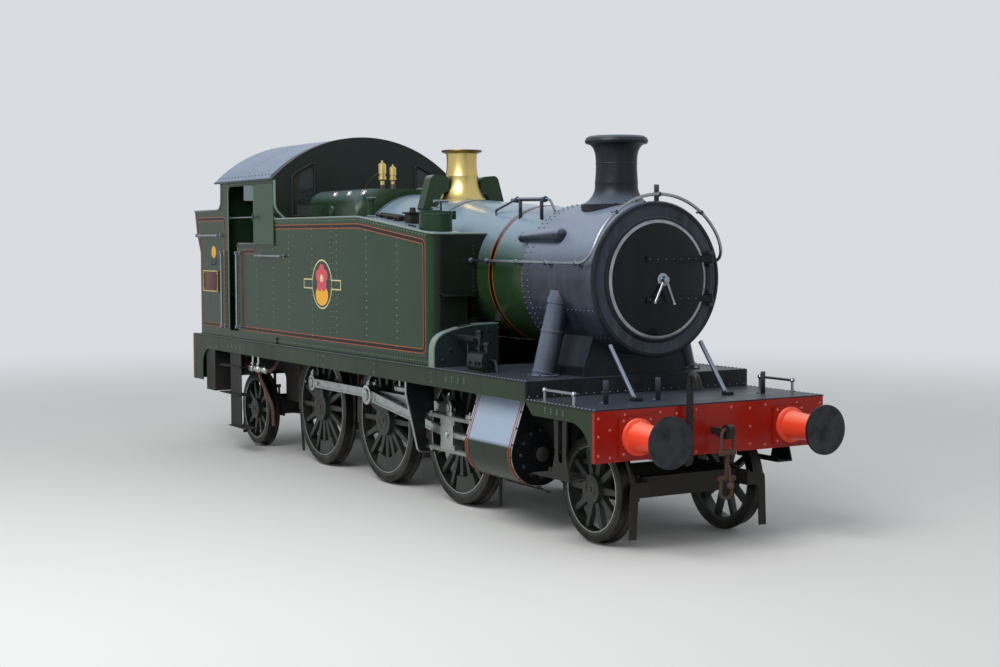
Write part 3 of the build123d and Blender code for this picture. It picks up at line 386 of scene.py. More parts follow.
def block(bm, low, high, bevel=0):
    size = Vector(high) - Vector(low)
    seat = Matrix.Translation((Vector(low) + Vector(high)) / 2) @ Matrix.Diagonal((*size, 1))
    verts = bmesh.ops.create_cube(bm, size=1, matrix=seat)["verts"]
    if bevel:
        edges = list({edge for vert in verts for edge in vert.link_edges})
        bmesh.ops.bevel(bm, geom=edges, offset=bevel, segments=2, profile=0.5, affect="EDGES",
                        material=-1)


def rod(bm, start, end, radius, sides=16, end_radius=None):
    start, end = Vector(start), Vector(end)
    seat = Matrix.Translation((start + end) / 2) @ facing(end - start)
    bmesh.ops.create_cone(bm, cap_ends=True, cap_tris=False, segments=sides, radius1=radius,
                          radius2=radius if end_radius is None else end_radius,
                          depth=(end - start).length, matrix=seat)


def turned(bm, profile, origin, axis, steps=32):
    # profile is (radius, distance along the axis), and it is closed unless it starts on the axis
    seat = Matrix.Translation(origin) @ facing(axis)
    verts = [bm.verts.new(seat @ Vector((r, 0, h))) for r, h in profile]
    edges = [bm.edges.new(pair) for pair in zip(verts, verts[1:])]
    if profile[0][0]:
        edges.append(bm.edges.new((verts[-1], verts[0])))
    before = set(bm.verts) - set(verts)
    bmesh.ops.spin(bm, geom=verts + edges, cent=origin, axis=Vector(axis).normalized(), dvec=(0, 0, 0),
                   angle=math.tau, steps=steps, use_merge=True)
    bmesh.ops.remove_doubles(bm, verts=[v for v in bm.verts if v not in before], dist=0.01)


def verts_of(made):
    return [item for item in made["geom"] if isinstance(item, bmesh.types.BMVert)]


def plate(bm, outline, push, rounding=0):
    verts = [bm.verts.new(point) for point in outline]
    face = bm.faces.new(verts)
    if rounding:
        made = bmesh.ops.bevel(bm, geom=verts, offset=rounding, segments=5, profile=0.5,
                               affect="VERTICES", material=-1)
        face = next(f for f in bm.faces if f.is_valid and made["verts"][0] in f.verts[:])
    made = bmesh.ops.extrude_face_region(bm, geom=[face], use_keep_orig=True)
    bmesh.ops.translate(bm, vec=push, verts=verts_of(made))


def eased(path, bend):
    points = [Vector(p) for p in path]
    if not bend:
        return points
    out = [points[0]]
    for before, corner, after in zip(points, points[1:], points[2:]):
        into, away = before - corner, after - corner
        reach = min(bend, into.length * 0.49, away.length * 0.49)
        start, end = corner + into.normalized() * reach, corner + away.normalized() * reach
        for step in range(6):
            t = step / 5
            out.append(start * (1 - t) ** 2 + corner * 2 * t * (1 - t) + end * t ** 2)
    return out + [points[-1]]


def pipe(bm, path, radius, bend=0, sides=10):
    points = eased(path, bend)
    runs = [(b - a).normalized() for a, b in zip(points, points[1:])]
    aims = [runs[0]] + [(a + b).normalized() for a, b in zip(runs, runs[1:])] + [runs[-1]]
    ring = bmesh.ops.create_circle(bm, cap_ends=True, segments=sides, radius=radius,
                                   matrix=Matrix.Translation(points[0]) @ facing(aims[0]))["verts"]
    edges = ring[0].link_faces[0].edges[:]
    here, aim = points[0], aims[0]
    for there, turn in zip(points[1:], aims[1:]):
        made = bmesh.ops.extrude_edge_only(bm, edges=edges)
        swing = aim.rotation_difference(turn).to_matrix().to_4x4()
        swing = Matrix.Translation(there) @ swing @ Matrix.Translation(-here)
        bmesh.ops.transform(bm, matrix=swing, verts=verts_of(made))
        edges = [item for item in made["geom"] if isinstance(item, bmesh.types.BMEdge)]
        here, aim = there, turn
    bmesh.ops.edgeloop_fill(bm, edges=edges)


def row(start, end, pitch):
    start, end = Vector(start), Vector(end)
    count = max(1, round((end - start).length / pitch))
    return [start.lerp(end, i / count) for i in range(count + 1)]


def rivets(bm, points, outward, radius=9, height=6, sides=8, top=0.45):
    out = Vector(outward).normalized()
    for point in map(Vector, points):
        rod(bm, point - out, point + out * height, radius, sides, radius * top)


def bolts(bm, points, outward, radius=14, height=12):
    rivets(bm, points, outward, radius, height, 6, 1)


def repeat(bm, flip):
    made = bmesh.ops.duplicate(bm, geom=bm.verts[:] + bm.edges[:] + bm.faces[:])
    bmesh.ops.scale(bm, vec=flip, verts=verts_of(made))


# the record's slot that each finish belongs to
SLOTS = {
    "body_green": "body_green rivet_green beading_green cab_dark",
    "smokebox_black": "smokebox_black chimney_black door_black",
    "frame_black": "frame_black brake_brown deck_black",
    "rod_steel": "rod_steel bright_steel rail_steel buffer_steel plug_steel",
    "axle_steel": "axle_steel",
    "polished_brass": "brass dark_brass copper",
    "lining_orange": "lining_orange lining_black",
    "mark_yellow": "mark_yellow mark_cream mark_red",
    "plate_red": "plate_red",
    "beam_red": "rivet_highlight_red",
    "roof_grey": "gutter_dark",
    "window_glass": "glass",
}
SLOT_OF = {finish: slot for slot, finishes in SLOTS.items() for finish in finishes.split()}


def finished(name, bm, finish, both=False, body="locomotive", slot=None):
    if both:
        repeat(bm, (1, -1, 1))
    bmesh.ops.recalc_face_normals(bm, faces=bm.faces[:])
    bmesh.ops.transform(bm, matrix=DRAWING_TO_FRAME, verts=bm.verts[:])
    mesh = bpy.data.meshes.new(name)
    bm.to_mesh(mesh)
    bm.free()
    mesh.materials.append(FINISH[finish])
    mesh.shade_smooth()
    mesh.set_sharp_from_angle(angle=math.radians(35))
    piece = bpy.data.objects.new(name, mesh)
    bpy.context.scene.collection.objects.link(piece)
    slot or SLOT_OF[finish]
    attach(piece, body)
    print(name, len(mesh.polygons), "faces")
    return piece


# %% [markdown]
# ## Lining
#
# The panels on tank and bunker are edged with a black line between two thin orange ones. A face
# with the panel's outline is inset for each ring, and the rings are a millimetre thick.

# %% Lined panels on both sides
ORANGE_WIDTH = 9
LINE_CORNER = 78
BLACK_WIDTH = 36


def ring_of(outline, skip, width, rounding, y0, y1):
    bm = bmesh.new()
    verts = [bm.verts.new((x, y0, z)) for x, z in outline]
    bm.faces.new(verts)
    bmesh.ops.bevel(bm, geom=verts, offset=rounding, segments=6, profile=0.5, affect="VERTICES",
                    material=-1)
    if skip:
        made = bmesh.ops.inset_region(bm, faces=bm.faces[:], thickness=skip, use_boundary=True,
                                      use_even_offset=True)
        bmesh.ops.delete(bm, geom=made["faces"], context="FACES")
    inside = bm.faces[:]
    bmesh.ops.inset_region(bm, faces=inside, thickness=width, use_boundary=True, use_even_offset=True)
    bmesh.ops.delete(bm, geom=inside, context="FACES")
    made = bmesh.ops.extrude_face_region(bm, geom=bm.faces[:], use_keep_orig=True)
    bmesh.ops.translate(bm, vec=(0, y1 - y0, 0), verts=verts_of(made))
    return bm


PANELS = {
    "tank_panel": [(1848, 1597), (1848, 2782), (262, 2962), (-2795, 2962), (-2795, 2655), (-3248, 2655),
                   (-3248, 1597)],
    "bunker_panel": [(-3835, 1597), (-3835, 3085), (-4955, 3085), (-4893, 2862), (-4752, 2590),
                     (-4752, 1597)],
}
for name, outline in PANELS.items():
    for part, skip, width, colour in (
            ("outer_line", 0, ORANGE_WIDTH, "lining_orange"),
            ("broad_line", ORANGE_WIDTH, BLACK_WIDTH, "lining_black"),
            ("inner_line", ORANGE_WIDTH + BLACK_WIDTH, ORANGE_WIDTH, "lining_orange")):
        bm = ring_of(outline, skip, width, LINE_CORNER, -SIDE + 0.5, -SIDE - 1)
        finished(f"{name}_{part}", bm, colour, both=True)

# %% [markdown]
# ## Rivets and seams of the tank and the cab
#
# Snap-head rivets join the plates, and every stay inside the tank ends in a row of them. A head is
# a bright dot from a few metres, so low eight-sided cones do, laid at a pitch between two points.

# %% Rivet rows
LOWEST = 1640
STAY_ROWS = [-2740, -2194, -1704, -1008, -318, 460, 1201]
# start x and z, end x and z, pitch
EDGE_ROWS = [
    (-2110, 3004, 253, 3004, 66), (253, 3004, 1846, 2826, 66), (-3365, LOWEST, -3365, 2660, 70),
    (-3800, LOWEST, -3800, 3060, 70), (-3960, 3200, -3960, 3520, 60), (-3960, 3200, -3745, 3200, 54),
    (-3745, 3230, -3745, 3440, 60), (-4700, 1620, -4700, 2980, 78), (-3960, 3520, -2160, 3520, 72),
    (-2150, 3060, -2150, 3470, 66),
]
bm = bmesh.new()
for x in STAY_ROWS:
    top = tank_top_at(x) - 130 if x > -2200 else 2480
    rivets(bm, row((x, -SIDE, LOWEST), (x, -SIDE, top), 80), RIGHT, 11, 7)
for x in (-487, -435):
    rivets(bm, row((x, -SIDE, 1580), (x, -SIDE, tank_top_at(x) - 40), 62), RIGHT, 8, 5)
for x0, z0, x1, z1, pitch in EDGE_ROWS:
    rivets(bm, row((x0, -SIDE, z0), (x1, -SIDE, z1), pitch), RIGHT)
rivets(bm, row((-2110, -SIDE + 16, 1516), (1846, -SIDE + 16, 1516), 62), RIGHT)
finished("tank_and_cab_rivets", bm, "rivet_green", both=True)

# %% [markdown]
# ## Beading and joint strips
#
# Half-round beading covers the raw plate edges, and its pale paint is a painted reflection of the sky. It
# is a bent bar, so it is swept along its line. The shutter slides over the thinner bead.

# %% Beading
# how far a bead stands out, its radius, bend and line
BEADS = [
    (2, 11, 150, [(-3988, 3560), (-3988, 3180), (-5013, 3176)]),
    (3, 8, 0, [(-3726, 1580), (-3726, 3400)]),
    (-1, 5, 80, [(-3726, 3390), (-3726, 3484), (-2832, 3484), (-2832, 2742)]),
    (3, 8, 0, [(-3385, 1580), (-3385, 2700)]),
]
bm = bmesh.new()
tank_edge = [(x, -SIDE - 2, z + 2) for x, z in TANK_LINE]
pipe(bm, tank_edge + [(1980, -480, 2843)], 11, 110)
for proud, radius, bend, line in BEADS:
    pipe(bm, [(x, -SIDE - proud, z) for x, z in line], radius, bend)
pipe(bm, [(-2126, -SIDE - 2, 3520), (-2126, -SIDE - 2, 3160), (-2126, -1120, 3040)], 16, 150)
finished("half_round_beading", bm, "beading_green", both=True)

bm = bmesh.new()
block(bm, (-463, -SIDE - 0.8, 1562), (-459, -SIDE + 2, 2995))
finished("tank_joint_line", bm, "lining_black", both=True)

# %% [markdown]
# ## Boiler bands
#
# Bands hold the lagging sheets and are lined like the panels. The barrel is a cone, so each band
# reads its centre and radius from the barrel at its own place.

# %% Bands round the boiler
def hoop(bm, x, width, lift):
    z, radius = boiler_at(x)
    profile = [(radius - 6, -width / 2), (radius + lift, -width / 2), (radius + lift, width / 2),
               (radius - 6, width / 2)]
    turned(bm, profile, (x, 0, z), AHEAD, 96)


bm = bmesh.new()
for x, width in ((2252, 56), (2856, 48), (-668, 60), (850, 56)):
    hoop(bm, x, width, 4)
finished("boiler_bands", bm, "lining_black")
bm = bmesh.new()
for x in (2218, 2286, 2825):
    hoop(bm, x, 11, 3)
finished("boiler_band_lines", bm, "lining_orange")

# %% [markdown]
# ## Smokebox fittings
#
# The smokebox is a riveted drum with a ring of angle iron at the front. The ejector's exhaust runs in
# a tapered casing along its side, and a thin pipe comes along the top and bends down to it.

# %% Rings, rivets and casings on the smokebox
def around(x, radius, centre, start, end, step):
    angle = start
    while angle <= end:
        out = Vector((0, math.cos(math.radians(angle)), math.sin(math.radians(angle))))
        yield Vector((x, 0, centre)) + out * radius, out
        angle += step


bm = bmesh.new()
for x in (2903, 3000, 4118):
    for point, out in around(x, SMOKEBOX_RADIUS, SMOKEBOX_Z, -70, 250, 4.5):
        rivets(bm, [point], out, 12, 9)
for side in (-1, 1):
    for z in (2110, 1850):
        y = -side * math.sqrt(SMOKEBOX_RADIUS ** 2 - (SMOKEBOX_Z - z) ** 2)
        rivets(bm, row((3080, y, z), (4060, y, z), 70), (0, y, z - SMOKEBOX_Z), 9, 7)
finished("smokebox_rivets", bm, "smokebox_black")

bm = bmesh.new()
turned(bm, [(712, -30), (742, -30), (742, -8), (728, 6), (700, 10), (700, 0)],
       (SMOKEBOX_FRONT, 0, SMOKEBOX_Z), AHEAD, 96)
turned(bm, [(560, 0), (600, 0), (600, 10), (585, 20), (566, 20), (560, 12)],
       (SMOKEBOX_FRONT, 0, SMOKEBOX_Z), AHEAD, 96)
finished("smokebox_front_rings", bm, "chimney_black")

EJECTOR_Y, TOP_PIPE_Y = -640, -400
bm = bmesh.new()
rod(bm, (2768, EJECTOR_Y, 2800), (3430, EJECTOR_Y, 2826), 46, 24, 76)
turned(bm, [(0, -78), (60, -52), (78, 0), (60, 52), (0, 78)], (3430, EJECTOR_Y, 2826), AHEAD, 24)
rod(bm, (2762, EJECTOR_Y, 2800), (2800, EJECTOR_Y, 2800), 52, 24)
finished("ejector_casing", bm, "smokebox_black")

bm = bmesh.new()
TOP_PIPE_FOOT = [(1850, 3030), (1830, 3085), (2237, 3190), (2300, 3192)]
pipe(bm, [(x, TOP_PIPE_Y, z) for x, z in TOP_PIPE_FOOT], 13, bend=60)
rod(bm, (2262, TOP_PIPE_Y, 3192), (2800, TOP_PIPE_Y, 3184), 21, 16)
for x, z, width in ((2262, 3192, 16), (2780, 3184, 40)):
    rod(bm, (x, TOP_PIPE_Y, z), (x + width, TOP_PIPE_Y, z), 32, 6)
pipe(bm, [(2815, TOP_PIPE_Y, 3184), (2900, TOP_PIPE_Y, 3180), (2990, TOP_PIPE_Y, 3060)], 13, bend=50)
for x in (2330, 2740):
    block(bm, (x - 10, TOP_PIPE_Y - 18, 2980), (x + 10, TOP_PIPE_Y + 18, 3176), 4)
finished("top_pipe", bm, "smokebox_black", slot="frame_black")

# %% [markdown]
# ## Brass whistles and plugs
#
# Two whistles of different pitch stand on their valves in front of the cab. Washout plugs show as
# bright caps on the firebox shoulder.

# %% Whistles and washout plugs
# x, height and radius of each bell
WHISTLES = [(-1355, 316, 52), (-1065, 255, 42)]
WHISTLE_Y, BELL_FOOT = -150, 3443
bm = bmesh.new()
for x, tall, r in WHISTLES:
    profile = [(0, 0), (r * 0.55, 0), (r * 0.55, tall * 0.18), (r, tall * 0.24), (r, tall * 0.36),
               (r * 0.8, tall * 0.38), (r * 0.8, tall * 0.44), (r, tall * 0.46), (r, tall * 0.8),
               (r * 0.6, tall * 0.88), (r * 0.25, tall * 0.9), (r * 0.25, tall * 0.96), (0, tall)]
    turned(bm, profile, (x, WHISTLE_Y, BELL_FOOT), UP, 28)
finished("whistle_bells", bm, "brass")
bm = bmesh.new()
for x, *_ in WHISTLES:
    rod(bm, (x, WHISTLE_Y, 3380), (x, WHISTLE_Y, 3452), 34, 16)
    rod(bm, (x, WHISTLE_Y, 3385), (x, WHISTLE_Y, 3400), 52, 16)
pipe(bm, [(-1355, -190, 3600), (-1420, -260, 3540), (-1560, -300, 3392)], 9, bend=60)
finished("whistle_valves", bm, "axle_steel", slot="polished_brass")

FIREBOX_CORNER = (570, 3155, 230)
bm = bmesh.new()
for x in (-1537, -1135, -733):
    y0, z0, r = FIREBOX_CORNER
    out = Vector((0, -math.cos(math.radians(50)), math.sin(math.radians(50))))
    seat = Vector((x + 30, -y0, z0)) + out * (r - 4)
    turned(bm, [(0, 0), (44, 0), (44, 10), (34, 22), (18, 24), (18, 40), (0, 42)], seat, out, 24)
finished("washout_plugs", bm, "plug_steel", both=True)
bm = bmesh.new()
turned(bm, [(0, -4), (92, -4), (92, 14), (70, 26), (0, 30)], (-1454, -800, 3100), RIGHT, 32)
finished("mudhole_doors", bm, "body_green", both=True)

# %% [markdown]
# ## Marks and plates
#
# The marks are a plain design of their own: an oval with a five-petal rosette over a gold base, two
# empty bars, an empty plate with a raised rim, and a bare disc.

# %% Tank emblem
def oval(bm, centre, half_width, half_height, y0, y1):
    x, z = centre
    seat = (Matrix.Translation((x, (y0 + y1) / 2, z)) @ Matrix.Diagonal((half_width, 1, half_height, 1))
            @ facing(RIGHT))
    bmesh.ops.create_cone(bm, cap_ends=True, cap_tris=False, segments=48, radius1=1, radius2=1,
                          depth=abs(y1 - y0), matrix=seat)


EMBLEM_X, EMBLEM_Z, WIDE, TALL = -730, 2258, 279, 290
centre, heart = (EMBLEM_X, EMBLEM_Z), (EMBLEM_X, EMBLEM_Z + 70)
turns = [i * math.tau / 5 for i in range(5)]
petals = [((heart[0] + 95 * math.sin(turn), heart[1] + 95 * math.cos(turn)), 74, 74) for turn in turns]
layers = [
    ("emblem_rim", "mark_cream", [(centre, WIDE, TALL)], 1.5),
    ("emblem_field", "body_green", [(centre, WIDE - 16, TALL - 16)], 2.5),
    ("emblem_base", "mark_yellow", [((EMBLEM_X, EMBLEM_Z - 130), WIDE * 0.62, TALL * 0.42)], 3.5),
    ("emblem_petals", "mark_red", petals, 4.5),
    ("emblem_heart", "mark_cream", [(heart, 46, 46)], 5.5),
]
for name, colour, ovals, lift in layers:
    bm = bmesh.new()
    for index, (spot, half_width, half_height) in enumerate(ovals):
        oval(bm, spot, half_width, half_height, -SIDE + 1, -SIDE - lift - index * 0.15)
    finished(name, bm, colour, both=True, slot="mark_yellow")
bm = bmesh.new()
for low, high in ((-1251, -1000), (-460, -209)):
    block(bm, (low, -SIDE - 1.5, 2200), (high, -SIDE + 1, 2318))
finished("emblem_bars", bm, "mark_cream", both=True)
bm = bmesh.new()
for low, high in ((-1237, -1000), (-460, -223)):
    block(bm, (low, -SIDE - 2.5, 2214), (high, -SIDE + 1, 2304))
finished("emblem_bar_fields", bm, "body_green", both=True)

# the plate and the disc on the bunker
bm = bmesh.new()
x0, x1, z0, z1 = -4668, -4098, 2072, 2361
block(bm, (x0, -SIDE - 12, z0), (x1, -SIDE + 1, z1), 5)
finished("plate_ground", bm, "plate_red", both=True)
bm = ring_of([(x0, z0), (x1, z0), (x1, z1), (x0, z1)], 0, 16, 20, -SIDE - 11, -SIDE - 20)
bolts(bm, [(x, -SIDE - 12, z) for x in (-4630, -4136) for z in (2110, 2323)], RIGHT, 12, 6)
finished("plate_rim", bm, "brass", both=True)
bm = bmesh.new()
oval(bm, (-4287, 2612), 82, 82, -SIDE + 1, -SIDE - 1.5)
finished("route_disc", bm, "mark_yellow", both=True)

# %% [markdown]
# ## Roof, gutters and look-outs
#
# The roof is bent sheet on angle-iron hoops, bolted along both eaves. Its front hoop is painted
# dark. The look-outs at the cab's front and back hold plate glass in a dark frame.

# %% Roof trim
bm = bmesh.new()
pipe(bm, [(x, 3 - EAVE[0], EAVE[1] - 4) for x in (-4166, -2140)], 13)
finished("gutter_beads", bm, "gutter_dark", both=True)
bm = bmesh.new()
half = math.asin(EAVE[0] / ROOF_RADIUS)
angles = [-half + 2 * half * step / 36 for step in range(37)]
spots = [(ROOF_RADIUS * math.sin(a), ROOF_CENTRE + ROOF_RADIUS * math.cos(a)) for a in angles]
for index in (1, len(spots) - 2):
    y, z = spots[index]
    rivets(bm, row((-4120, y, z), (-2260, y, z), 118), (0, y, z - ROOF_CENTRE), 11, 9)
for x in (-4130, -3200, -2250):
    for y, z in spots[2:-2]:
        rivets(bm, [(x, y, z)], (0, y, z - ROOF_CENTRE), 8, 4)
finished("roof_bolts", bm, "gutter_dark")

# the glass of the look-outs and its frames
WINDOWS = {
    "front": (-2134, [(-1020, 3070), (-1020, 3590), (-715, 3750), (-715, 3070)]),
    "back": (-3966, [(-960, 3290), (-960, 3620), (-420, 3620), (-420, 3290)]),
}
for name, (x, outline) in WINDOWS.items():
    bm = bmesh.new()
    plate(bm, [(x - 3, y, z) for y, z in outline], (6, 0, 0))
    finished(f"{name}_window_glass", bm, "glass", both=True)
    bm = bmesh.new()
    corners = [(x + 12, y, z) for y, z in outline]
    pipe(bm, corners + [corners[0]], 16, bend=50)
    finished(f"{name}_window_frames", bm, "frame_black", both=True)

# %% [markdown]
# ## Bolts on valances, beams and running plate
#
# Each joint in the running plate is a cluster of bolts through the valance. The plate's own edge
# carries a close row of snap heads, painted pale as a highlight so they read as a dotted line.

# %% Running plate and beam bolts
EDGE_Y = -1296
bm = bmesh.new()
rivets(bm, row((-4960, EDGE_Y, PLATE_TOP), (3870, EDGE_Y, PLATE_TOP), 60), UP, 11, 7)
rivets(bm, row((3920, EDGE_Y, FRONT_PLATFORM), (5000, EDGE_Y, FRONT_PLATFORM), 60), UP, 11, 7)
rivets(bm, row((3899, -1270, 1330), (3899, 0, 1330), 90), AHEAD, 8, 5)
finished("running_plate_rivets", bm, "beading_green", slot="frame_black", both=True)
VALANCE_FACE, BEAM_FACE, HOUSING_FACE = -1302, 5023, 5051
# upper and lower bolt height, gaps between them, places along the valance
VALANCE_BOLTS = [
    (1420, 1320, 1, (-765, -624)),
    (1420, 1330, 1, (725, 2044)),
    (1405, 1361, 2, (2363, 2480, 2610, 2732)),
    (1395, 1345, 2, (-3679, -3530, -3390, -3246)),
    (1255, 1215, 2, (4224, 4324, 4424, 4523)),
]
bm = bmesh.new()
for high, low, gaps, places in VALANCE_BOLTS:
    for x in places:
        rivets(bm, row((x, VALANCE_FACE, low), (x, VALANCE_FACE, high), (high - low) / gaps), RIGHT, 9, 7)
for x, low in ((-4930, 900), (-4700, 1320)):
    rivets(bm, row((x, VALANCE_FACE, low), (x, VALANCE_FACE, 1430), 95), RIGHT, 9, 7)
finished("valance_rivets", bm, "rivet_green", both=True)

BEAM_RIVETS = [(-1262, 1231), (-1262, 1073), (-1262, 906), (-1140, 1125), (-1140, 882), (-982, 1250),
               (-600, 1250), (-600, 882), (-420, 1230), (-420, 1060), (-420, 900), (-200, 1250),
               (-200, 870)]
HOUSING_RIVETS = [(y, z) for y in (-1015, -870, -725) for z in (909, 1054, 1199)
                  if (y, z) != (-870, 1054)]
for name, face, spots, radius, height in (("beam_rivets", BEAM_FACE, BEAM_RIVETS, 16, 9),
                                          ("buffer_plate_rivets", HOUSING_FACE, HOUSING_RIVETS, 14, 10)):
    bm = bmesh.new()
    for end in (1, -1):
        rivets(bm, [(end * face, y, z) for y, z in spots], (end, 0, 0), radius, height)
    finished(name, bm, "rivet_highlight_red", both=True)

# %% [markdown]
# ## Cylinder cladding and steam pipes
#
# Each cylinder is wrapped in thin sheet, lined near both ends. The lines are narrow straps that
# follow the sheet's outline. Rings on the slanted steam pipe are turned about its own axis.

# %% Straps along a cladding outline
CYLINDER_Y, CYLINDER_Z = CYLINDER = (-988, 750)
FOLD = [(-1074, 1461), (-1280.8, 848.9)]


def cladding_path(turns):
    points = [Vector(FOLD[0]).lerp(Vector(FOLD[1]), i / 8) for i in range(9)]
    for step in range(1, turns + 1):
        angle = math.radians(161.4 + 148 * step / turns)
        points.append(Vector((CYLINDER_Y + 309 * math.cos(angle), CYLINDER_Z + 309 * math.sin(angle))))
    return points


def strap(bm, points, centre, x, width, lift, sink=4):
    outward = [(p - Vector(centre)).normalized() for p in points]
    outer = [p + out * lift for p, out in zip(points, outward)]
    inner = [p - out * sink for p, out in zip(points, outward)]
    plate(bm, [(x, p.x, p.y) for p in outer + inner[::-1]], (width, 0, 0))


path = cladding_path(20)
bm = bmesh.new()
for x in (2752, 2784, 3556, 3588):
    strap(bm, path, CYLINDER, x, 10, 4)
finished("cylinder_lines", bm, "lining_orange", both=True)
bm = bmesh.new()
strap(bm, path, CYLINDER, 3619, 7, 2)
finished("cylinder_front_edge", bm, "bright_steel", both=True)
bm = bmesh.new()
for x in (2739, 3611):
    for index in (2, 4, 6, 8, 11, 14, 17, 20):
        out = (path[index] - Vector(CYLINDER)).normalized()
        bolts(bm, [(x, *path[index])], (0, *out), 10, 7)
for turn in (i * math.tau / 12 for i in range(12)):
    spot = (3650, CYLINDER_Y + 222 * math.cos(turn), CYLINDER_Z + 222 * math.sin(turn))
    bolts(bm, [spot], AHEAD, 17, 20)
turned(bm, [(0, 0), (70, 0), (70, 12), (52, 24), (0, 28)], (3680, *CYLINDER), AHEAD, 24)
for x in (2850, 3180, 3510):
    rod(bm, (x, -930, 470), (x, -930, 410), 16, 10)
    pipe(bm, [(x, -930, 424), (x + 90, -930, 400), (3700, -930 - (x - 3180) * 0.06, 390)], 9, bend=60)
finished("cylinder_bolts_and_drains", bm, "frame_black", both=True)

PIPE_TOP, PIPE_FOOT = Vector((3475, -640, 2270)), Vector((3475, -868, 1400))
PIPE_RUN = (PIPE_FOOT - PIPE_TOP).normalized()
bm = bmesh.new()
for z, half, proud in ((2180, 34, 9), (1887, 13, 6), (1500, 10, 8)):
    seat = PIPE_TOP.lerp(PIPE_FOOT, (PIPE_TOP.z - z) / (PIPE_TOP.z - PIPE_FOOT.z))
    ring = [(104, -half), (112, -half - 3), (112 + proud, -half), (112 + proud, half), (112, half + 3),
            (104, half)]
    turned(bm, ring, seat, PIPE_RUN, 40)
turned(bm, [(104, 0), (158, 0), (158, 12), (104, 16)], (3475, -849, PLATE_TOP), UP, 40)
bolts(bm, [(3475 + 140 * math.cos(a), -849 + 140 * math.sin(a),
            1485) for a in (i * math.tau / 8 for i in range(8))],
      UP, 12, 12)
finished("steam_pipe_rings", bm, "smokebox_black", both=True)

# %% [markdown]
# ## Rods, cross-heads and slide bars
#
# Every bearing has an oil cup on top, and every pin a ring or a cap. The left crank stands a quarter
# turn behind the right one, so each side's fittings are worked out from its own crank angle.

# %% Fittings on the rods
CRANK, ROD_LENGTH, AXLE_Z = 305, 1930, 705
DRIVING_X, AXLE_STEP = 20, 1752.5
SIDES = {"right": (-1, -11.5), "left": (1, -101.5)}


def crank_pin(angle):
    turn = math.radians(angle)
    return DRIVING_X + CRANK * math.sin(turn), AXLE_Z + CRANK * math.cos(turn)


def oil_cup(bm, x, y, z):
    rod(bm, (x, y, z), (x, y, z + 16), 17, 6)
    rod(bm, (x, y, z + 16), (x, y, z + 30), 9, 10, 6)


for side, (hand, angle) in SIDES.items():
    pin_x, pin_z = crank_pin(angle)
    head_x = pin_x + math.sqrt(ROD_LENGTH ** 2 - (pin_z - CYLINDER_Z) ** 2)
    bm = bmesh.new()
    for step in (-1, 0, 1):
        x = pin_x + step * AXLE_STEP
        if step:
            turned(bm, [(68, -2), (86, -2), (86, 4), (80, 7), (68, 7)], (x, hand * 930, pin_z),
                   (0, hand, 0), 40)
        oil_cup(bm, x, hand * 905, pin_z + 140)
        bolts(bm, [(x + shift, hand * 930, pin_z) for shift in (-170, 170)], (0, hand, 0), 13, 8)
    finished(f"coupling_rod_fittings_{side}", bm, "bright_steel", body=f"coupling_rod_{side}")
    for place, step in (("rear", -1), ("front", 1)):
        x = pin_x + step * AXLE_STEP
        bm = bmesh.new()
        turned(bm, [(0, -2), (54, -2), (54, 4), (46, 8), (0, 8)], (x, hand * 938, pin_z), (0, hand, 0),
               32)
        rod(bm, (x - 48, hand * 943, pin_z), (x + 48, hand * 943, pin_z), 5, 8)
        finished(f"crank_pin_cap_{place}_{side}", bm, "rod_steel", body=f"{place}_wheelset")
    bm = bmesh.new()
    turned(bm, [(82, -2), (108, -2), (108, 3), (82, 5)], (pin_x, hand * 1028, pin_z), (0, hand, 0), 48)
    turned(bm, [(0, -2), (50, -2), (50, 4), (22, 8), (22, 18), (0, 18)], (pin_x, hand * 1044, pin_z),
           (0, hand, 0), 32)
    rod(bm, (pin_x - 62, hand * 1050, pin_z), (pin_x + 62, hand * 1050, pin_z), 7, 8)
    oil_cup(bm, pin_x, hand * 988, pin_z + 150)
    turned(bm, [(0, -2), (34, -2), (34, 10), (16, 14), (0, 14)], (head_x, hand * 1034, CYLINDER_Z),
           (0, hand, 0), 24)
    oil_cup(bm, head_x, hand * 988, CYLINDER_Z + 155)
    for dx in (-100, 100):
        for dz in (-130, 130):
            bolts(bm, [(head_x + dx, hand * 1021, CYLINDER_Z + dz)], (0, hand, 0), 12, 10)
    rod(bm, (head_x + 165, hand * 960, CYLINDER_Z), (head_x + 165, hand * 1046, CYLINDER_Z), 13, 6)
    finished(f"connecting_rod_fittings_{side}", bm, "bright_steel")

bm = bmesh.new()
for x in (1475, 2660):
    for z, up in ((940, 1), (560, -1)):
        bolts(bm, [(x, CYLINDER_Y, z)], (0, 0, up), 20, 22)
for x in (1900, 2300):
    block(bm, (x - 55, -1015, 938), (x + 55, -961, 990), 8)
    oil_cup(bm, x, CYLINDER_Y, 988)
finished("slide_bar_oil_boxes", bm, "rod_steel", both=True)
bm = bmesh.new()
edge = [p.xy for p in eased([(-1285, 1461, 0), (-1285, 1150, 0), (-1140, 520, 0), (-950, 520, 0)], 60)]
strap(bm, edge, (-950, 1000), 1426, 34, 4, 8)
finished("slide_bar_bracket_edge", bm, "rod_steel", both=True)

# %% [markdown]
# ## Bright rings on the wheels
#
# A thin bright steel ring at the tyre's inner lip is a painted highlight on the rim's edge, and the
# axle end keeps the lathe's centre. Both ride with their wheelset and turn with it.

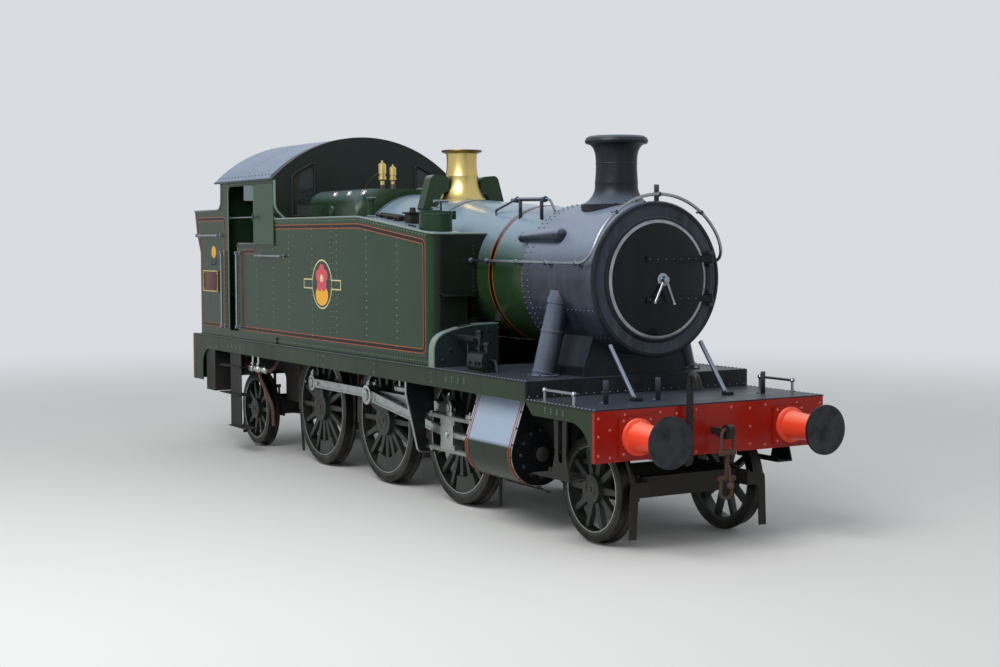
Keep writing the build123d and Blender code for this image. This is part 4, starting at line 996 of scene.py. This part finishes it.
# %% Rings and centres
for body, _, x, z, _, rim, face, bore in AXLES:
    bm = bmesh.new()
    turned(bm, [(rim - 1, -3), (rim + 6, -3), (rim + 6, 1.5), (rim - 1, 1.5)], (x, -820, z), RIGHT, 72)
    finished(f"highlight_rings_{body}", bm, "bright_steel", both=True, body=body)
    bm = bmesh.new()
    turned(bm, [(bore - 12, -2), (bore, -2), (bore, 3), (bore - 12, 3)], (x, -face, z), RIGHT, 36)
    turned(bm, [(0, -2), (26, -2), (26, 8), (8, 8), (0, 2)], (x, -face, z), RIGHT, 24)
    finished(f"axle_centres_{body}", bm, "axle_steel", both=True, body=body)

# %% [markdown]
# ## Tank front and its gear
#
# In front of each tank an arched casing has a rolled edge, painted pale as a reflection of the sky. Beside
# it stand the lubricator's domed cover and two valve columns on pipes. The tank front has one small foot
# ledge.

# %% Casing edge, lubricator and valves
COLUMN_Y, FEED_Y = -1106, -1010
bm = bmesh.new()
arch = [p.xy for p in eased([(-1290, 1473, 0), (-1290, 1790, 0), (-900, 1905, 0), (-520, 1912, 0)], 250)]
strap(bm, arch, (-620, PLATE_TOP), 1979, 108, 4, 10)
finished("arched_casing_edge", bm, "beading_green", both=True)
bm = bmesh.new()
spots = [(-1186, 1553), (-1099, 1657), (-898, 1784), (-780, 1846), (-651, 1838), (-529, 1866),
         (-1000, 1735)]
bolts(bm, [(2085, y, z) for y, z in spots], AHEAD, 15, 14)
finished("arched_casing_bolts", bm, "bright_steel", both=True)

bm = bmesh.new()
plate(bm, [(2579, -1182, PLATE_TOP), (2579, -1182, 1668), (2579, -1030, 1668), (2579, -1030, PLATE_TOP)],
      (298, 0, 0), 64)
block(bm, (2560, -1200, PLATE_TOP), (2900, -1012, 1490), 4)
rod(bm, (2150, FEED_Y, 1770), (2480, FEED_Y, 1770), 44, 20)
rod(bm, (2140, FEED_Y, 1770), (2152, FEED_Y, 1770), 56, 6)
finished("lubricator_cover", bm, "cab_dark", both=True)
bm = bmesh.new()
for x, top in ((2700, 1896), (2850, 1780)):
    rod(bm, (x, COLUMN_Y, 1655), (x, COLUMN_Y, top - 40), 14, 12)
    rod(bm, (x, COLUMN_Y, 1690), (x, COLUMN_Y, 1724), 30, 6)
    turned(bm, [(0, 0), (36, 0), (40, 14), (36, 28), (0, 28)], (x, COLUMN_Y, top - 40), UP, 20)
rod(bm, (2700, COLUMN_Y, 1800), (2700, COLUMN_Y, 1850), 34, 14)
pipe(bm, [(2090, COLUMN_Y, 1810), (2600, COLUMN_Y, 1810), (2700, COLUMN_Y, 1800)], 10, bend=40)
pipe(bm, [(2480, FEED_Y, 1770), (2560, FEED_Y, 1770), (2590, FEED_Y, PLATE_TOP)], 12, bend=60)
pipe(bm, [(2300, FEED_Y, 1740), (2300, FEED_Y, PLATE_TOP)], 12)
pipe(bm, [(2860, COLUMN_Y, 1600), (3020, COLUMN_Y, 1600), (3060, COLUMN_Y, PLATE_TOP)], 12, bend=50)
for x in (2640, 2760, 2820):
    rod(bm, (x, -1186, 1560), (x, -1200, 1560), 16, 6)
finished("valve_columns", bm, "buffer_steel", both=True)
bm = bmesh.new()
block(bm, (1970, -1168, 2218), (2062, -777, 2230), 3)
block(bm, (2052, -1168, 2196), (2062, -777, 2230), 3)
rivets(bm, row((1978, -760, 2250), (1978, -760, 2800), 42), AHEAD, 8, 5)
rivets(bm, row((1978, -760, 1960), (1978, -760, 2190), 42), AHEAD, 8, 5)
finished("tank_front_ledge", bm, "cab_dark", both=True)

# %% [markdown]
# ## Fittings on top of the tanks
#
# A capped vent stands near the firebox. Two pipes run forward beside it into a dark valve box, and
# each filler lid has a grip.

# %% Tank-top vent, valve box and pipes
bm = bmesh.new()
turned(bm, [(0, 3020), (64, 3020), (64, 3046), (42, 3056), (40, 3214), (56, 3222), (58, 3250),
            (48, 3264), (0, 3268)],
       (-10, -960, 0), UP, 28)
finished("tank_vent", bm, "body_green", both=True)
bm = bmesh.new()
block(bm, (860, -985, 2930), (1000, -855, 3060), 12)
block(bm, (840, -1005, 3060), (1020, -835, 3080), 5)
rod(bm, (930, -920, 3080), (930, -920, 3128), 38, 20, 30)
pipe(bm, [(180, -930, 3020), (180, -930, 3072), (880, -930, 3020)], 20, bend=40)
pipe(bm, [(240, -1010, 3036), (240, -1010, 3064), (760, -1010, 3022), (760, -1010, 2970)], 14, bend=40)
for x in (330, 520, 700):
    block(bm, (x - 16, -1030, 2960), (x + 16, -905, 3062 - (x - 330) * 0.09), 4)
bolts(bm, [(x, -1100, tank_top_at(x)) for x in (1200, 1260, 1320)], UP, 16, 14)
finished("tank_valve_box", bm, "frame_black", both=True)
for side, (hand, _) in SIDES.items():
    bm = bmesh.new()
    rod(bm, (1740, hand * 1096, 3180), (1740, hand * 924, 3180), 14, 12)
    rod(bm, (1620, hand * 1010, 3108), (1620, hand * 1010, 3120), 44, 24)
    finished(f"filler_grip_{side}", bm, "rail_steel", body=f"tank_filler_lid_{side}")

# %% [markdown]
# ## Boiler handrail
#
# The rail runs level along the smokebox and sweeps up round its front in one easy bend. The solid
# model turns that corner sharply, so this piece stands for it, with the bend drawn as a curve.

# %% The bent rail and its knobs
RAIL_Y, RAIL_Z, RAIL_FRONT = 790, 2560, 4185
RAIL_RADIUS = math.hypot(RAIL_Y, RAIL_Z - SMOKEBOX_Z)
RAIL_START = math.degrees(math.atan2(RAIL_Z - SMOKEBOX_Z, RAIL_Y))
RAIL_LIFT = 22


def rail_arc(angle):
    turn = math.radians(angle)
    return Vector((RAIL_FRONT, -RAIL_RADIUS * math.cos(turn), SMOKEBOX_Z + RAIL_RADIUS * math.sin(turn)))


def rail_points():
    first, last = Vector((3980, -RAIL_Y, RAIL_Z)), rail_arc(RAIL_START + RAIL_LIFT)
    pull_in = Vector((RAIL_FRONT, -RAIL_Y, RAIL_Z))
    tangent = rail_arc(RAIL_START + RAIL_LIFT - 1) - last
    pull_out = last + tangent.normalized() * 130
    points = [Vector((1978, -RAIL_Y, RAIL_Z)), first]
    for step in range(1, 10):
        t = step / 10
        points.append(first * (1 - t) ** 3 + pull_in * 3 * t * (1 - t) ** 2 + pull_out * 3 * t * t * (1 - t)
                      + last * t ** 3)
    points += [rail_arc(RAIL_START + RAIL_LIFT + i * (90 - RAIL_START - RAIL_LIFT) / 14) for i in range(15)]
    return points + [Vector((p.x, -p.y, p.z)) for p in points[-2::-1]]


bm = bmesh.new()
pipe(bm, rail_points(), 16, sides=16)
rail = finished("handrail_bar", bm, "rail_steel")
bm = bmesh.new()
for x in (2300, 2870, 3420, 3940):
    knob = [(0, 20), (18, 18), (26, 8), (28, 0), (24, -14), (14, -22), (13, -60), (30, -66), (30, -74),
            (0, -74)]
    turned(bm, knob, (x, -RAIL_Y, RAIL_Z), (0, -1, 0.2), 20)
turned(bm, [(0, -26), (24, -26), (30, 0), (24, 20), (0, 20)], (1990, -RAIL_Y, RAIL_Z), AHEAD, 20)
knobs = finished("handrail_knobs", bm, "smokebox_black", both=True)
bm = bmesh.new()
for angle in (52, 90, 128):
    seat = rail_arc(angle)
    rod(bm, seat, seat - Vector((70, 0, 0)), 11, 10)
    turned(bm, [(0, -18), (20, -12), (25, 0), (20, 14), (0, 20)], seat, AHEAD, 18)
front_knobs = finished("handrail_front_knobs", bm, "smokebox_black")
for piece in (rail, knobs, front_knobs):
    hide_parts("boiler_handrail")

# %% [markdown]
# ## Smokebox door
#
# A dart with two handles pulls the door shut, and a thin bright steel ring on the rim is a painted
# highlight along the door's edge.
# All of this swings with the door.

# %% Handles, rim and hinge bolts
DOOR_FACE = 4238
bm = bmesh.new()
turned(bm, [(0, -4), (62, -4), (62, 8), (40, 16), (0, 16)], (DOOR_FACE, 0, SMOKEBOX_Z), AHEAD, 28)
for x, foot, boss in ((DOOR_FACE + 30, (-118, -215), 36), (DOOR_FACE + 60, (86, -228), 32)):
    rod(bm, (x - 12, 0, SMOKEBOX_Z), (x + 12, 0, SMOKEBOX_Z), boss, 20)
    tip = Vector((x + 14, foot[0], SMOKEBOX_Z + foot[1]))
    rod(bm, (x, 0, SMOKEBOX_Z), tip, 15, 12, 10)
    turned(bm, [(0, -14), (14, -9), (18, 0), (14, 9), (0, 14)], tip, tip - Vector((x, 0, SMOKEBOX_Z)), 14)
turned(bm, [(560, 3), (566, 3), (566, 15), (556, 19), (536, 22), (536, 14)], (4158, 0, SMOKEBOX_Z),
       AHEAD, 96)
finished("door_dart_and_rim", bm, "rail_steel", body="smokebox_door")
bm = bmesh.new()
for z in (SMOKEBOX_Z - 190, SMOKEBOX_Z + 190):
    rivets(bm, row((DOOR_FACE + 4, -140, z), (DOOR_FACE + 4, 400, z), 90), AHEAD, 12, 8)
    rod(bm, (4190, 612, z - 52), (4190, 612, z + 52), 15, 12)
finished("door_strap_rivets", bm, "door_black", body="smokebox_door")

# %% [markdown]
# ## Lamp brackets
#
# A lamp hangs on a flat upright strip with a foot: over the buffers, on top of the smokebox and on
# the back of the bunker.

# %% Lamp brackets at both ends
def lamp_iron(bm, x, y, z, height, foot):
    block(bm, (x - 5, y - 27, z - 4), (x + 5, y + 27, z + height), 2)
    block(bm, (min(x, x + foot), y - 30, z - 4), (max(x, x + foot), y + 30, z + 9), 2)
    rivets(bm, [(x + foot * 0.7, y + shift, z + 9) for shift in (-16, 16)], UP, 7, 4)


bm = bmesh.new()
for y in (-908, 908, -330):
    lamp_iron(bm, 4620, y, FRONT_PLATFORM, 210, -60)
lamp_iron(bm, 4140, 0, 3126, 170, -60)
for y in (-860, 0, 860):
    block(bm, (-4822, y - 27, 2110), (-4812, y + 27, 2300), 2)
    block(bm, (-4822, y - 27, 2110), (-4796, y + 27, 2122), 2)
block(bm, (-5026, -30, 2980), (-5006, 30, 3160), 3)
block(bm, (-4300, -1292, 2440), (-4274, -1250, 2452), 2)
block(bm, (-4300, -1292, 2440), (-4274, -1284, 2530), 2)
finished("lamp_brackets", bm, "smokebox_black")

# %% [markdown]
# ## Handrails beside the cab and on the front platform
#
# Each grab rail ends in round knobs. A low rail stands at the edge of the front platform, and a thin
# bar crosses the cab's side opening over a bright sill.

# %% Grab-rail knobs, platform rail and doorway bar
KNOBS = [(-3900, 1620), (-3900, 2610), (-3348, 1632), (-3348, 2606), (-4817, 2837), (-4038, 2837),
         (-2656, 2578), (-1875, 2578)]
LOW_RAIL, LOW_RAIL_Y, LOW_RAIL_Z = (4157, 4636), -1262, 1417
BAR_Y = 28 - SIDE
bm = bmesh.new()
for x, z in KNOBS:
    turned(bm, [(0, -20), (17, -15), (24, -2), (22, 10), (12, 19), (0, 21)], (x, -1300, z), RIGHT, 18)
    turned(bm, [(0, -2), (30, -2), (30, 6), (0, 6)], (x, -SIDE, z), RIGHT, 18)
legs = [[(x, LOW_RAIL_Y, z) for z in (FRONT_PLATFORM, LOW_RAIL_Z)] for x in LOW_RAIL]
pipe(bm, legs[0] + legs[1][::-1], 14, bend=20)
for x in LOW_RAIL:
    turned(bm, [(0, -26), (19, -18), (26, 0), (19, 18), (0, 26)], (x, LOW_RAIL_Y, LOW_RAIL_Z), UP, 18)
    rod(bm, (x, LOW_RAIL_Y, FRONT_PLATFORM - 2), (x, LOW_RAIL_Y, FRONT_PLATFORM + 10), 26, 6)
rod(bm, (-3720, BAR_Y, 3069), (-2838, BAR_Y, 3069), 9, 12)
for x in (-3714, -2844):
    rod(bm, (x - 8, BAR_Y, 3069), (x + 8, BAR_Y, 3069), 18, 14)
block(bm, (-3391, -SIDE - 4, 2728), (-2838, -SIDE + 14, 2738), 2)
finished("rail_knobs_and_doorway_bar", bm, "rail_steel", both=True)
bm = bmesh.new()
block(bm, (4520, -575, FRONT_PLATFORM), (4600, -485, FRONT_PLATFORM + 34), 6)
bolts(bm, [(4560, -562, FRONT_PLATFORM + 34), (4560, -498, FRONT_PLATFORM + 34)], UP, 10, 10)
finished("stay_feet", bm, "deck_black", both=True)

# %% [markdown]
# ## Chimney joints
#
# The chimney's cap flares out of a rolled barrel. A fine bead covers the joint, and bolts go through
# the base's flange. The lip of the valve bonnet is dark brown.

# %% Flare, bead and bolts on the chimney, lip of the bonnet
CHIMNEY_X = 3480
bm = bmesh.new()
turned(bm, [(196, -5), (204, -5), (206, 0), (204, 5), (196, 5)], (CHIMNEY_X, 0, 3520), UP, 64)
flare = [(204, 3560), (207, 3600), (216, 3640), (232, 3674), (258, 3702), (300, 3722), (308, 3730),
         (300, 3738), (206, 3738)]
turned(bm, flare, (CHIMNEY_X, 0, 0), UP, 64)
for step in range(20):
    turn = step * math.tau / 20
    out = Vector((math.cos(turn), math.sin(turn), 0))
    drop = SMOKEBOX_RADIUS - math.sqrt(SMOKEBOX_RADIUS ** 2 - (345 * out.y) ** 2)
    rivets(bm, [Vector((CHIMNEY_X, 0, 3152 - drop)) + out * 343], out, 11, 8)
finished("chimney_flare_and_bolts", bm, "chimney_black")
bm = bmesh.new()
turned(bm, [(150, 3786), (229, 3774), (233, 3784), (229, 3796), (150, 3796)], (390, 0, 0), UP, 64)
finished("bonnet_rim", bm, "dark_brass")

# %% [markdown]
# ## Screw couplings and vacuum pipes
#
# A shackle hangs in each drawhook, then a screw with a ball on its lever, then the long shackle.
# Beside it stands a bent steel vacuum pipe. Both are drawn at the front and repeated at the back.

# %% Couplings and standpipes at both ends
STANDPIPE_Y = -330
STANDPIPE = [(5050, 780), (5098, 800), (5098, 1520), (5110, 1585), (5196, 1570), (5216, 1470)]
bm = bmesh.new()
pipe(bm, [(5216, -66, 872), (5220, -66, 1086), (5220, 66, 1086), (5216, 66, 872)], 17, bend=60, sides=12)
rod(bm, (5216, -84, 872), (5216, 84, 872), 26, 16)
rod(bm, (5216, 0, 900), (5210, 0, 610), 21, 20)
for z in range(640, 860, 14):
    turned(bm, [(20, -4), (25, 0), (20, 4)], (5213, 0, z), UP, 20)
rod(bm, (5210, -84, 640), (5210, 84, 640), 26, 16)
pipe(bm, [(5210, -62, 650), (5196, -62, 460), (5196, 62, 460), (5210, 62, 650)], 16, bend=60, sides=12)
pipe(bm, [(5214, 0, 760), (5248, 0, 752), (5262, 0, 600)], 10, bend=30)
turned(bm, [(0, -34), (24, -24), (34, 0), (24, 24), (0, 34)], (5263, 0, 580), UP, 20)
repeat(bm, (-1, -1, 1))
finished("screw_couplings", bm, "brake_brown")
bm = bmesh.new()
pipe(bm, [(x, STANDPIPE_Y, z) for x, z in STANDPIPE], 31, bend=90, sides=20)
turned(bm, [(0, -8), (46, -8), (46, 10), (36, 18), (0, 18)], (5216, STANDPIPE_Y, 1470), (0.17, 0, -1), 24)
for z in (940, 1180):
    turned(bm, [(29, -16), (40, -16), (40, 16), (29, 16)], (5098, STANDPIPE_Y, z), UP, 24)
    block(bm, (5060, STANDPIPE_Y - 22, z - 12), (5082, STANDPIPE_Y + 22, z + 12), 3)
repeat(bm, (-1, -1, 1))
finished("vacuum_standpipes", bm, "frame_black")

# %% [markdown]
# ## Injector and pipes below the cab
#
# The injector is a row of turned bodies in line under the footplate's edge, with a rusty overflow
# pipe that runs down and forward.

# %% Injector under the cab
PIPE_Y, INJECTOR_Z = -1150, 1100
INJECTOR = [(0, 0), (30, 0), (30, 40), (44, 46), (44, 110), (34, 120), (34, 230), (50, 240), (50, 330),
            (36, 342), (36, 480), (46, 488), (46, 540), (26, 552), (26, 602), (0, 602)]
bm = bmesh.new()
turned(bm, INJECTOR, (-3270, PIPE_Y, INJECTOR_Z), AHEAD, 24)
for x in (-3170, -2980):
    rod(bm, (x, PIPE_Y, 1140), (x, PIPE_Y, 1284), 19, 14)
    rod(bm, (x, PIPE_Y, 1150), (x, PIPE_Y, 1176), 34, 6)
for x in (-3225, -2850):
    rod(bm, (x - 14, PIPE_Y, INJECTOR_Z), (x + 14, PIPE_Y, INJECTOR_Z), 52, 6)
finished("injector", bm, "bright_steel", both=True)
# line, radius and bend
INJECTOR_PIPES = [
    ([(-2960, PIPE_Y, 1070), (-2950, PIPE_Y, 1000), (-2570, -1130, 640), (-2550, -1130, 400)], 24, 90),
    ([(-2668, PIPE_Y, INJECTOR_Z), (-2560, PIPE_Y, INJECTOR_Z), (-2470, -1090, 1200),
      (-2470, -1090, 1420)], 24, 80),
    ([(-3270, PIPE_Y, INJECTOR_Z), (-3420, PIPE_Y, INJECTOR_Z), (-3470, -1120, 1240),
      (-3470, -1120, 1420)], 22, 80),
]
bm = bmesh.new()
for line, radius, bend in INJECTOR_PIPES:
    pipe(bm, line, radius, bend, 14)
finished("injector_pipes", bm, "brake_brown", both=True)

# %% [markdown]
# ## Sand pipes
#
# Sand falls through a pipe from each box to the rail in front of its wheel.

# %% Sand pipes on both sides
bm = bmesh.new()
pipe(bm, [(2500, -760, 1430), (2500, -760, 1000), (2506, -750, 420), (2498, -750, 60)],
     17, bend=120, sides=12)
pipe(bm, [(-2560, -760, 1430), (-2560, -760, 900), (-2520, -750, 420), (-2470, -750, 60)],
     17, bend=120, sides=12)
finished("sand_pipes", bm, "frame_black", both=True)

# %% [markdown]
# ## Backhead
#
# The regulator's long handle, two gauge glasses, two dials with blank faces, the firehole's ring, the
# reversing lever and the seats.

# %% Fittings on the backhead and the cab floor
BACKHEAD_X, VALVE_Z = -2540, 2700
# y, height and radius of both dials
DIALS = [(-330, 3190, 78), (250, 3290, 66)]
bm = bmesh.new()
turned(bm, [(0, 0), (86, 0), (86, 34), (60, 46), (0, 46)], (BACKHEAD_X, 0, 3060), BACK, 32)
pipe(bm, [(BACKHEAD_X - 60, 0, 3060), (BACKHEAD_X - 84, -120, 3020), (BACKHEAD_X - 84, -470, 2860)], 15,
     bend=60)
for y in (-190, -120):
    rod(bm, (BACKHEAD_X - 66, y, 2540), (BACKHEAD_X - 66, y, 2900), 13, 12)
    for z in (2530, 2880):
        rod(bm, (BACKHEAD_X, y, z), (BACKHEAD_X - 90, y, z), 16, 10)
        rod(bm, (BACKHEAD_X - 66, y, z - 18), (BACKHEAD_X - 66, y, z + 34), 24, 8)
turned(bm, [(172, 0), (214, 0), (214, 26), (200, 40), (180, 34)], (BACKHEAD_X, 0, 2160), BACK, 40)
for y in (230, 330, 430):
    rod(bm, (BACKHEAD_X, y, VALVE_Z), (BACKHEAD_X - 60, y, VALVE_Z), 17, 12)
    turned(bm, [(0, -8), (44, -8), (44, 8), (0, 8)], (BACKHEAD_X - 74, y, VALVE_Z), BACK, 18)
pipe(bm, [(BACKHEAD_X - 30, 230, VALVE_Z), (BACKHEAD_X - 40, 230, 3180), (BACKHEAD_X - 40, -260, 3230)], 13,
     bend=120)
pipe(bm, [(BACKHEAD_X - 30, 430, VALVE_Z), (BACKHEAD_X - 50, 430, 2300), (BACKHEAD_X - 20, 520, 1900)], 16,
     bend=120)
finished("backhead_pipes_and_valves", bm, "copper")
bm = bmesh.new()
for y, z, radius in DIALS:
    turned(bm, [(radius - 12, 0), (radius, 0), (radius, 40), (radius - 12, 44)], (BACKHEAD_X, y, z),
           BACK, 32)
finished("dial_rims", bm, "brass")
bm = bmesh.new()
for y, z, radius in DIALS:
    turned(bm, [(0, 0), (radius - 10, 0), (radius - 10, 34), (0, 34)], (BACKHEAD_X, y, z), BACK, 32)
finished("dial_faces", bm, "mark_cream")
bm = bmesh.new()
block(bm, (-2990, -1130, 1574), (-2690, -1050, 2030), 10)
pipe(bm, [(-2840, -1000, 1900), (-2860, -1000, 2300), (-2930, -1000, 2540)], 17, bend=100)
rod(bm, (-2930, -1000, 2500), (-2955, -1000, 2600), 24, 16)
block(bm, (-2990, 1050, 1574), (-2690, 1130, 2030), 10)
block(bm, (-3930, -1180, 2010), (-3700, -760, 2046), 8)
block(bm, (-3930, 760, 2010), (-3700, 1180, 2046), 8)
finished("reversing_lever_and_seats", bm, "frame_black")

# %% [markdown]
# ## The studio
#
# A pale floor where the wheels stand, fading into an even pale sky, and one large soft lamp high on
# the camera's side.

# %% Floor, light and camera
bpy.context.scene.view_settings.view_transform = "Standard"
bm = bmesh.new()
bmesh.ops.create_circle(bm, cap_ends=True, segments=64, radius=60)
floor_mesh = bpy.data.meshes.new("floor")
bm.to_mesh(floor_mesh)
bm.free()
floor = bpy.data.objects.new("floor", floor_mesh)
bpy.context.scene.collection.objects.link(floor)
floor_material, tree = new_tree("studio_floor")
SKY = linear("#e9edf2")
SKY_STRENGTH = 0.85
near = add(tree, "BsdfPrincipled", links={"Base Color": linear("#c9c9c6"), "Roughness": 0.9})
far = add(tree, "Emission", links={"Color": SKY, "Strength": SKY_STRENGTH})
place = add(tree, "TexCoord").outputs["Object"]
reach = add(tree, "VectorMath", {"operation": "LENGTH"}, {0: place})
share = add(tree, "MapRange", {"interpolation_type": "SMOOTHSTEP"},
            {"Value": reach.outputs["Value"], "From Min": 7.0, "From Max": 24.0})
shader = add(tree, "MixShader", links={0: share.outputs[0], 1: near.outputs[0], 2: far.outputs[0]})
close_tree(tree, shader)
floor_mesh.materials.append(floor_material)

world = bpy.data.worlds.new("studio_sky")
bpy.context.scene.world = world
world.use_nodes = True
world.node_tree.nodes.clear()
backdrop = add(world.node_tree, "Background", links={"Color": SKY, "Strength": SKY_STRENGTH})
add(world.node_tree, "OutputWorld", links={"Surface": backdrop.outputs[0]})

lamp_data = bpy.data.lights.new("high_soft_lamp", "AREA")
lamp_data.shape = "DISK"
lamp_data.size = 9
lamp_data.energy = 1500
lamp = bpy.data.objects.new("high_soft_lamp", lamp_data)
lamp_place = Vector((6, -9, 11))
lamp.matrix_world = Matrix.Translation(lamp_place) @ facing(lamp_place - Vector((0, 0, 2)))
bpy.context.scene.collection.objects.link(lamp)

YAW, PITCH, ROLL = 1.035, -0.061, -0.003
look = Vector((-math.sin(YAW) * math.cos(PITCH), math.cos(YAW) * math.cos(PITCH), math.sin(PITCH)))
across = look.cross(Vector(UP)).normalized()
up = across.cross(look)
right = across * math.cos(ROLL) + up * math.sin(ROLL)
above = up * math.cos(ROLL) - across * math.sin(ROLL)
turn = Matrix((right, above, -look)).transposed().to_4x4()
camera_data = bpy.data.cameras.new("camera")
camera_data.sensor_width = 36
camera_data.lens = 56.88
camera_data.clip_end = 200
camera = bpy.data.objects.new("camera", camera_data)
camera_place = Vector((16.2583, -8.9186, 2.805 + FLANGE_DEPTH * MM))
camera.matrix_world = Matrix.Translation(camera_place) @ turn
bpy.context.scene.collection.objects.link(camera)
bpy.context.scene.camera = camera
print("camera:", camera_data.lens, "mm lens")
